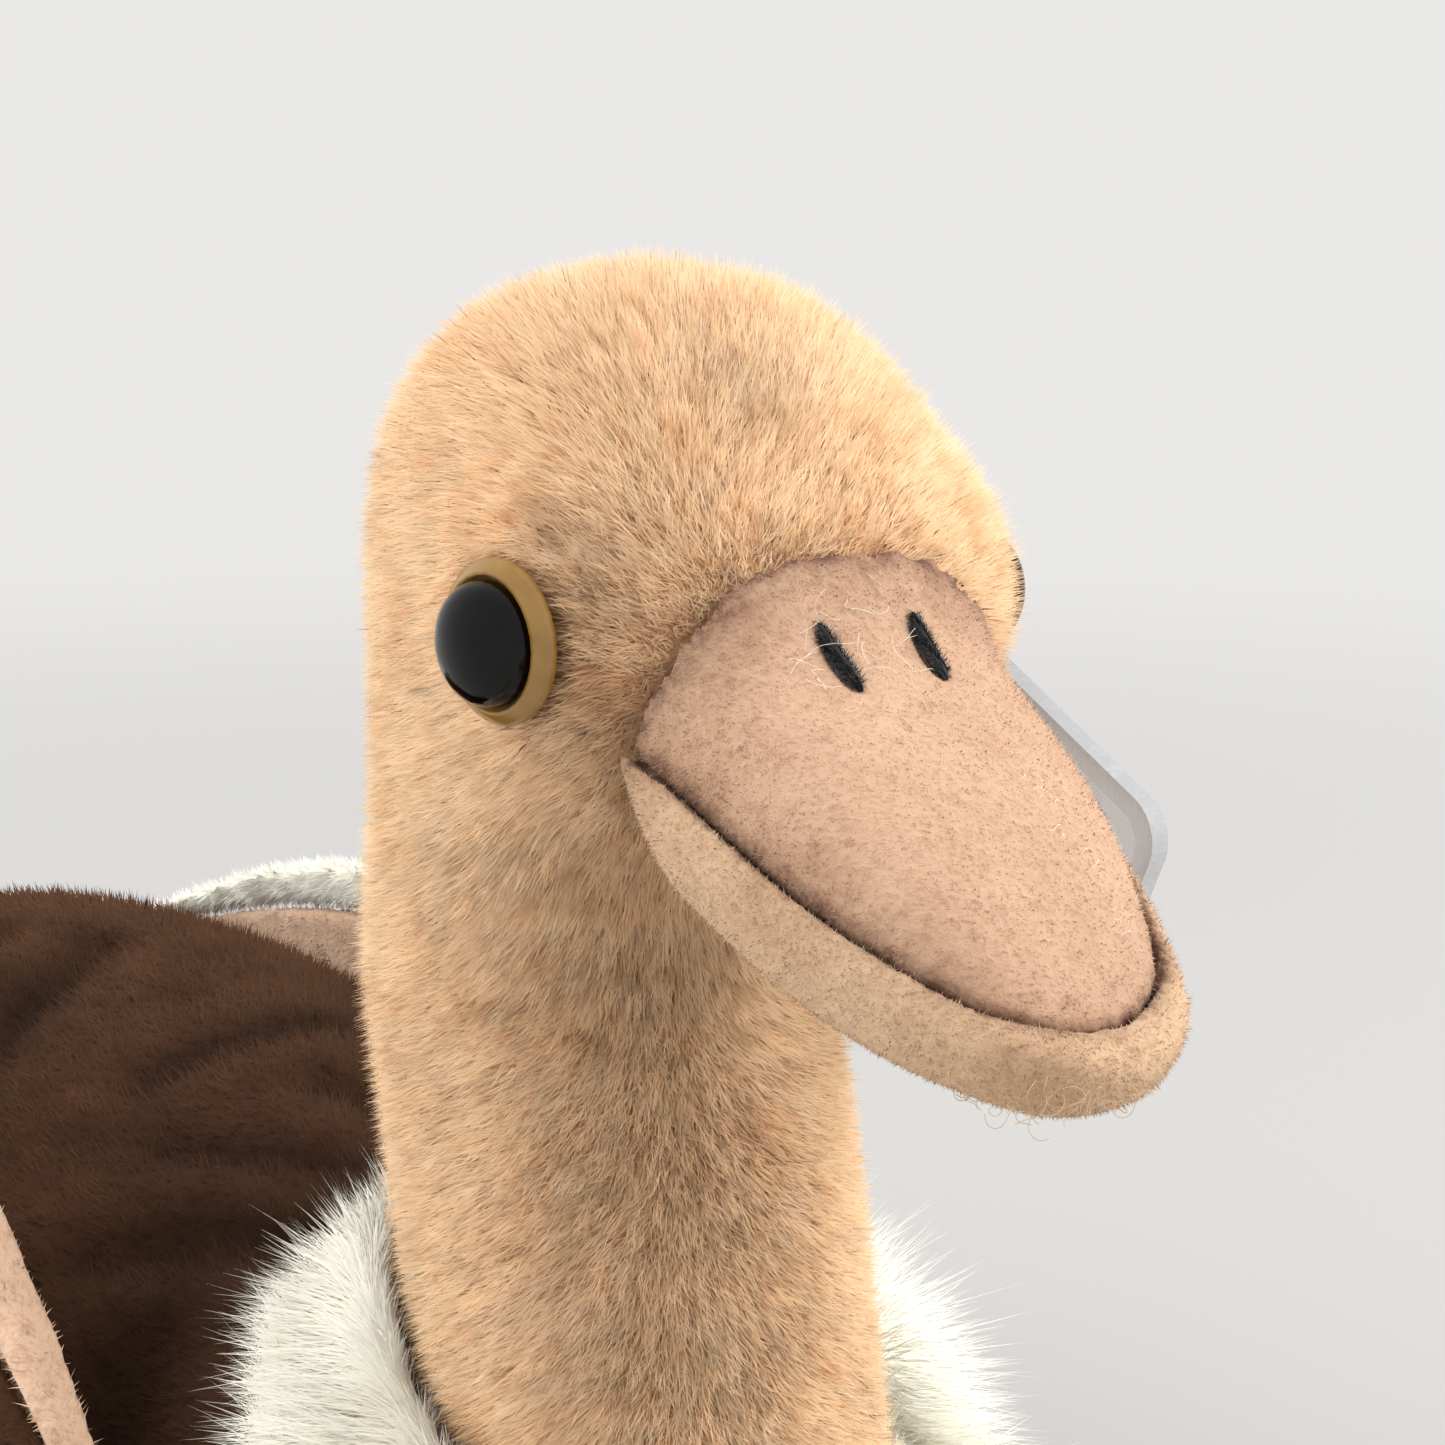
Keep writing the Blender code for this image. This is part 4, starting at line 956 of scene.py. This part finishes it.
collar = skin("collar", "collar_core", WHITE_SKIN, collar_inset, 1.2 * MM)
groom(collar, comb_out, hidden_by=("head_neck", "body"), reach=0.5 * MM,
      long=lambda p: max(0.22, min(1.0, (distance_to(NECK_TREES, p) + 0.8 * MM) / (6 * MM))))
plant("collar_pile", collar, WHITE_FIBRE, LONG_FIBRE, 14.0, 7.0 * MM, 0.12 * MM, 161,
      tuft=1.6 * MM, pull=0.3, wild=0.35, lean=1.1, gloss=0.3)
plant("collar_wisps", collar, WHITE_FIBRE, LONG_FIBRE, 2.5, 8.0 * MM, 0.06 * MM, 171,
      tuft=2.2 * MM, pull=0.5, wild=0.4, lean=1.0, gloss=0.3)
tail = skin("tail", "tail_core", WHITE_SKIN, TAIL_PILE, 1.4 * MM, swell=0.6 * MM)
groom(tail, comb_back, hidden_by=("body",), reach=2 * MM)
plant("tail_pile", tail, WHITE_FIBRE, LONG_FIBRE, 9.0, 8.0 * MM, 0.15 * MM, 181,
      tuft=1.8 * MM, pull=0.35, wild=0.35, lean=0.9, gloss=0.3)

# Wings, legs and feet
for side, start in (("right", 200), ("left", 300)):
    outer = skin(side + "_wing_outer", side + "_wing_cloth", BROWN_SKIN, 0.1 * MM,
                 0.7 * MM)
    groom(outer, comb_back)
    plant(side + "_wing_nap", outer, BROWN_FIBRE, SHORT_FIBRE, 4.0, 0.8 * MM,
          0.14 * MM, start + 60, tuft=2.0 * MM, pull=0.2, wild=0.4, gloss=0.25)
    lining = skin(side + "_wing_lining", side + "_wing_underside", LINING_SKIN,
                  0.1 * MM, 0.7 * MM)
    note(lining, "painted_seam_shade", "FLOAT", [0.0] * len(lining.data.vertices))
    groom(lining, comb_back)
    plant(side + "_wing_lining_nap", lining, LINING_FIBRE, SHORT_FIBRE, 4.0, 0.7 * MM,
          0.14 * MM, start + 80, tuft=1.6 * MM, pull=0.2, wild=0.4)
    trim = skin(side + "_wing_trim", side + "_wing_edge", WHITE_SKIN, 0.5 * MM,
                0.8 * MM)
    groom(trim, comb_back)
    plant(side + "_wing_edge_pile", trim, WHITE_FIBRE, SHORT_FIBRE, 14.0, 1.3 * MM,
          0.14 * MM, start, wild=0.35)
    leg = skin(side + "_leg", side + "_leg_skin", PEACH_SKIN, LEG_PILE, 1.4 * MM,
               swell=0.6 * MM)
    groom(leg, comb_forward, hidden_by=("body", side + "_foot"), reach=2 * MM)
    plant(side + "_leg_pile", leg, PEACH_FIBRE, SHORT_FIBRE, 11.0, 2.0 * MM,
          0.16 * MM, start + 20)
    foot = skin(side + "_foot", side + "_foot_skin", FELT_SKIN, FELT, 0.7 * MM, 2,
                swell=0.3 * MM)
    note(foot, "painted_seam_shade", "FLOAT", [0.0] * len(foot.data.vertices))
    groom(foot, comb_forward)
    plant(side + "_foot_fuzz", foot, FELT_FIBRE, SHORT_FIBRE, 14.0, 0.8 * MM,
          0.09 * MM, start + 40, wild=0.8, lean=0.3)

for spare in (SHORT_FIBRE, LONG_FIBRE):
    bpy.data.objects.remove(spare)


# Floor: its colour, and the distances in metres from the middle at which it starts to fade and is gone
PALE = (0.50, 0.498, 0.492, 1.0)
FLOOR_EVEN = 0.16
FLOOR_END = 0.75

# Strength of the world's light, and what is added where the world itself is seen
SKY_LIGHT = 0.55
SKY_SEEN = 0.27

HEAD_MIDDLE = (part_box("head_neck")[0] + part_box("head_neck")[1]) / 2


def stage():
    """A pale floor that fades into the world's own pale colour."""
    bm = bmesh.new()
    bmesh.ops.create_circle(bm, cap_ends=True, radius=3.0, segments=96)
    mesh = bpy.data.meshes.new("floor")
    bm.to_mesh(mesh)
    bm.free()
    floor = bpy.data.objects.new("floor", mesh)
    bpy.context.scene.collection.objects.link(floor)
    finish = Finish("floor_paper", Base_Color=PALE, Roughness=0.9, Specular_IOR_Level=0.1)
    distance = finish.vector("LENGTH", finish.place, output=1)
    mesh.materials.append(finish.feed(Alpha=1 - distance.ramp(FLOOR_EVEN, FLOOR_END)))


def lamp(name, right, up, toward, size, power, shade=(1.0, 1.0, 1.0)):
    """A soft square lamp, placed in metres from the head along the camera's right, up and back."""
    place = HEAD_MIDDLE + RIGHT * right + UP * up - FORWARD * toward
    light = bpy.data.lights.new(name, "AREA")
    light.size = size
    light.energy = power
    light.color = shade
    result = bpy.data.objects.new(name, light)
    result.visible_glossy = False
    aim = (HEAD_MIDDLE - place).to_track_quat("-Z", "Y").to_matrix().to_4x4()
    result.matrix_world = Matrix.Translation(place) @ aim
    bpy.context.scene.collection.objects.link(result)


stage()
lamp("left", -0.85, 0.4, 0.25, 1.0, 9.5, (1.0, 0.99, 0.97))
lamp("right", 0.9, 0.35, 0.2, 1.0, 12.0, (1.0, 0.98, 0.95))
lamp("top", 0.1, 0.95, 0.1, 0.8, 4.0)

world = bpy.data.worlds.new("studio")
bpy.context.scene.world = world
world.use_nodes = True
sky = Tree(world.node_tree)
background = world.node_tree.nodes["Background"]
rays = sky.add("ShaderNodeLightPath")
seen = rays.maths("MAXIMUM", sky.pick(rays, "Is Camera Ray"), sky.pick(rays, "Is Glossy Ray"))
seen = rays.maths("MAXIMUM", seen, sky.pick(rays, "Is Transmission Ray"))
strength = seen * SKY_SEEN + SKY_LIGHT
background.inputs["Color"].default_value = (1.0, 0.99, 0.98, 1.0)
world.node_tree.links.new(strength.socket, background.inputs["Strength"])

lens = bpy.data.cameras.new("photograph")
lens.sensor_width = CAMERA_SENSOR
lens.lens = CAMERA_LENS
lens.clip_start = 0.01
camera = bpy.data.objects.new("photograph", lens)
camera_aim = Matrix((RIGHT, UP, -FORWARD)).transposed().to_4x4()
camera.matrix_world = Matrix.Translation(CAMERA_PLACE) @ camera_aim
bpy.context.scene.collection.objects.link(camera)
bpy.context.scene.camera = camera
bpy.context.scene.view_settings.view_transform = "Standard"
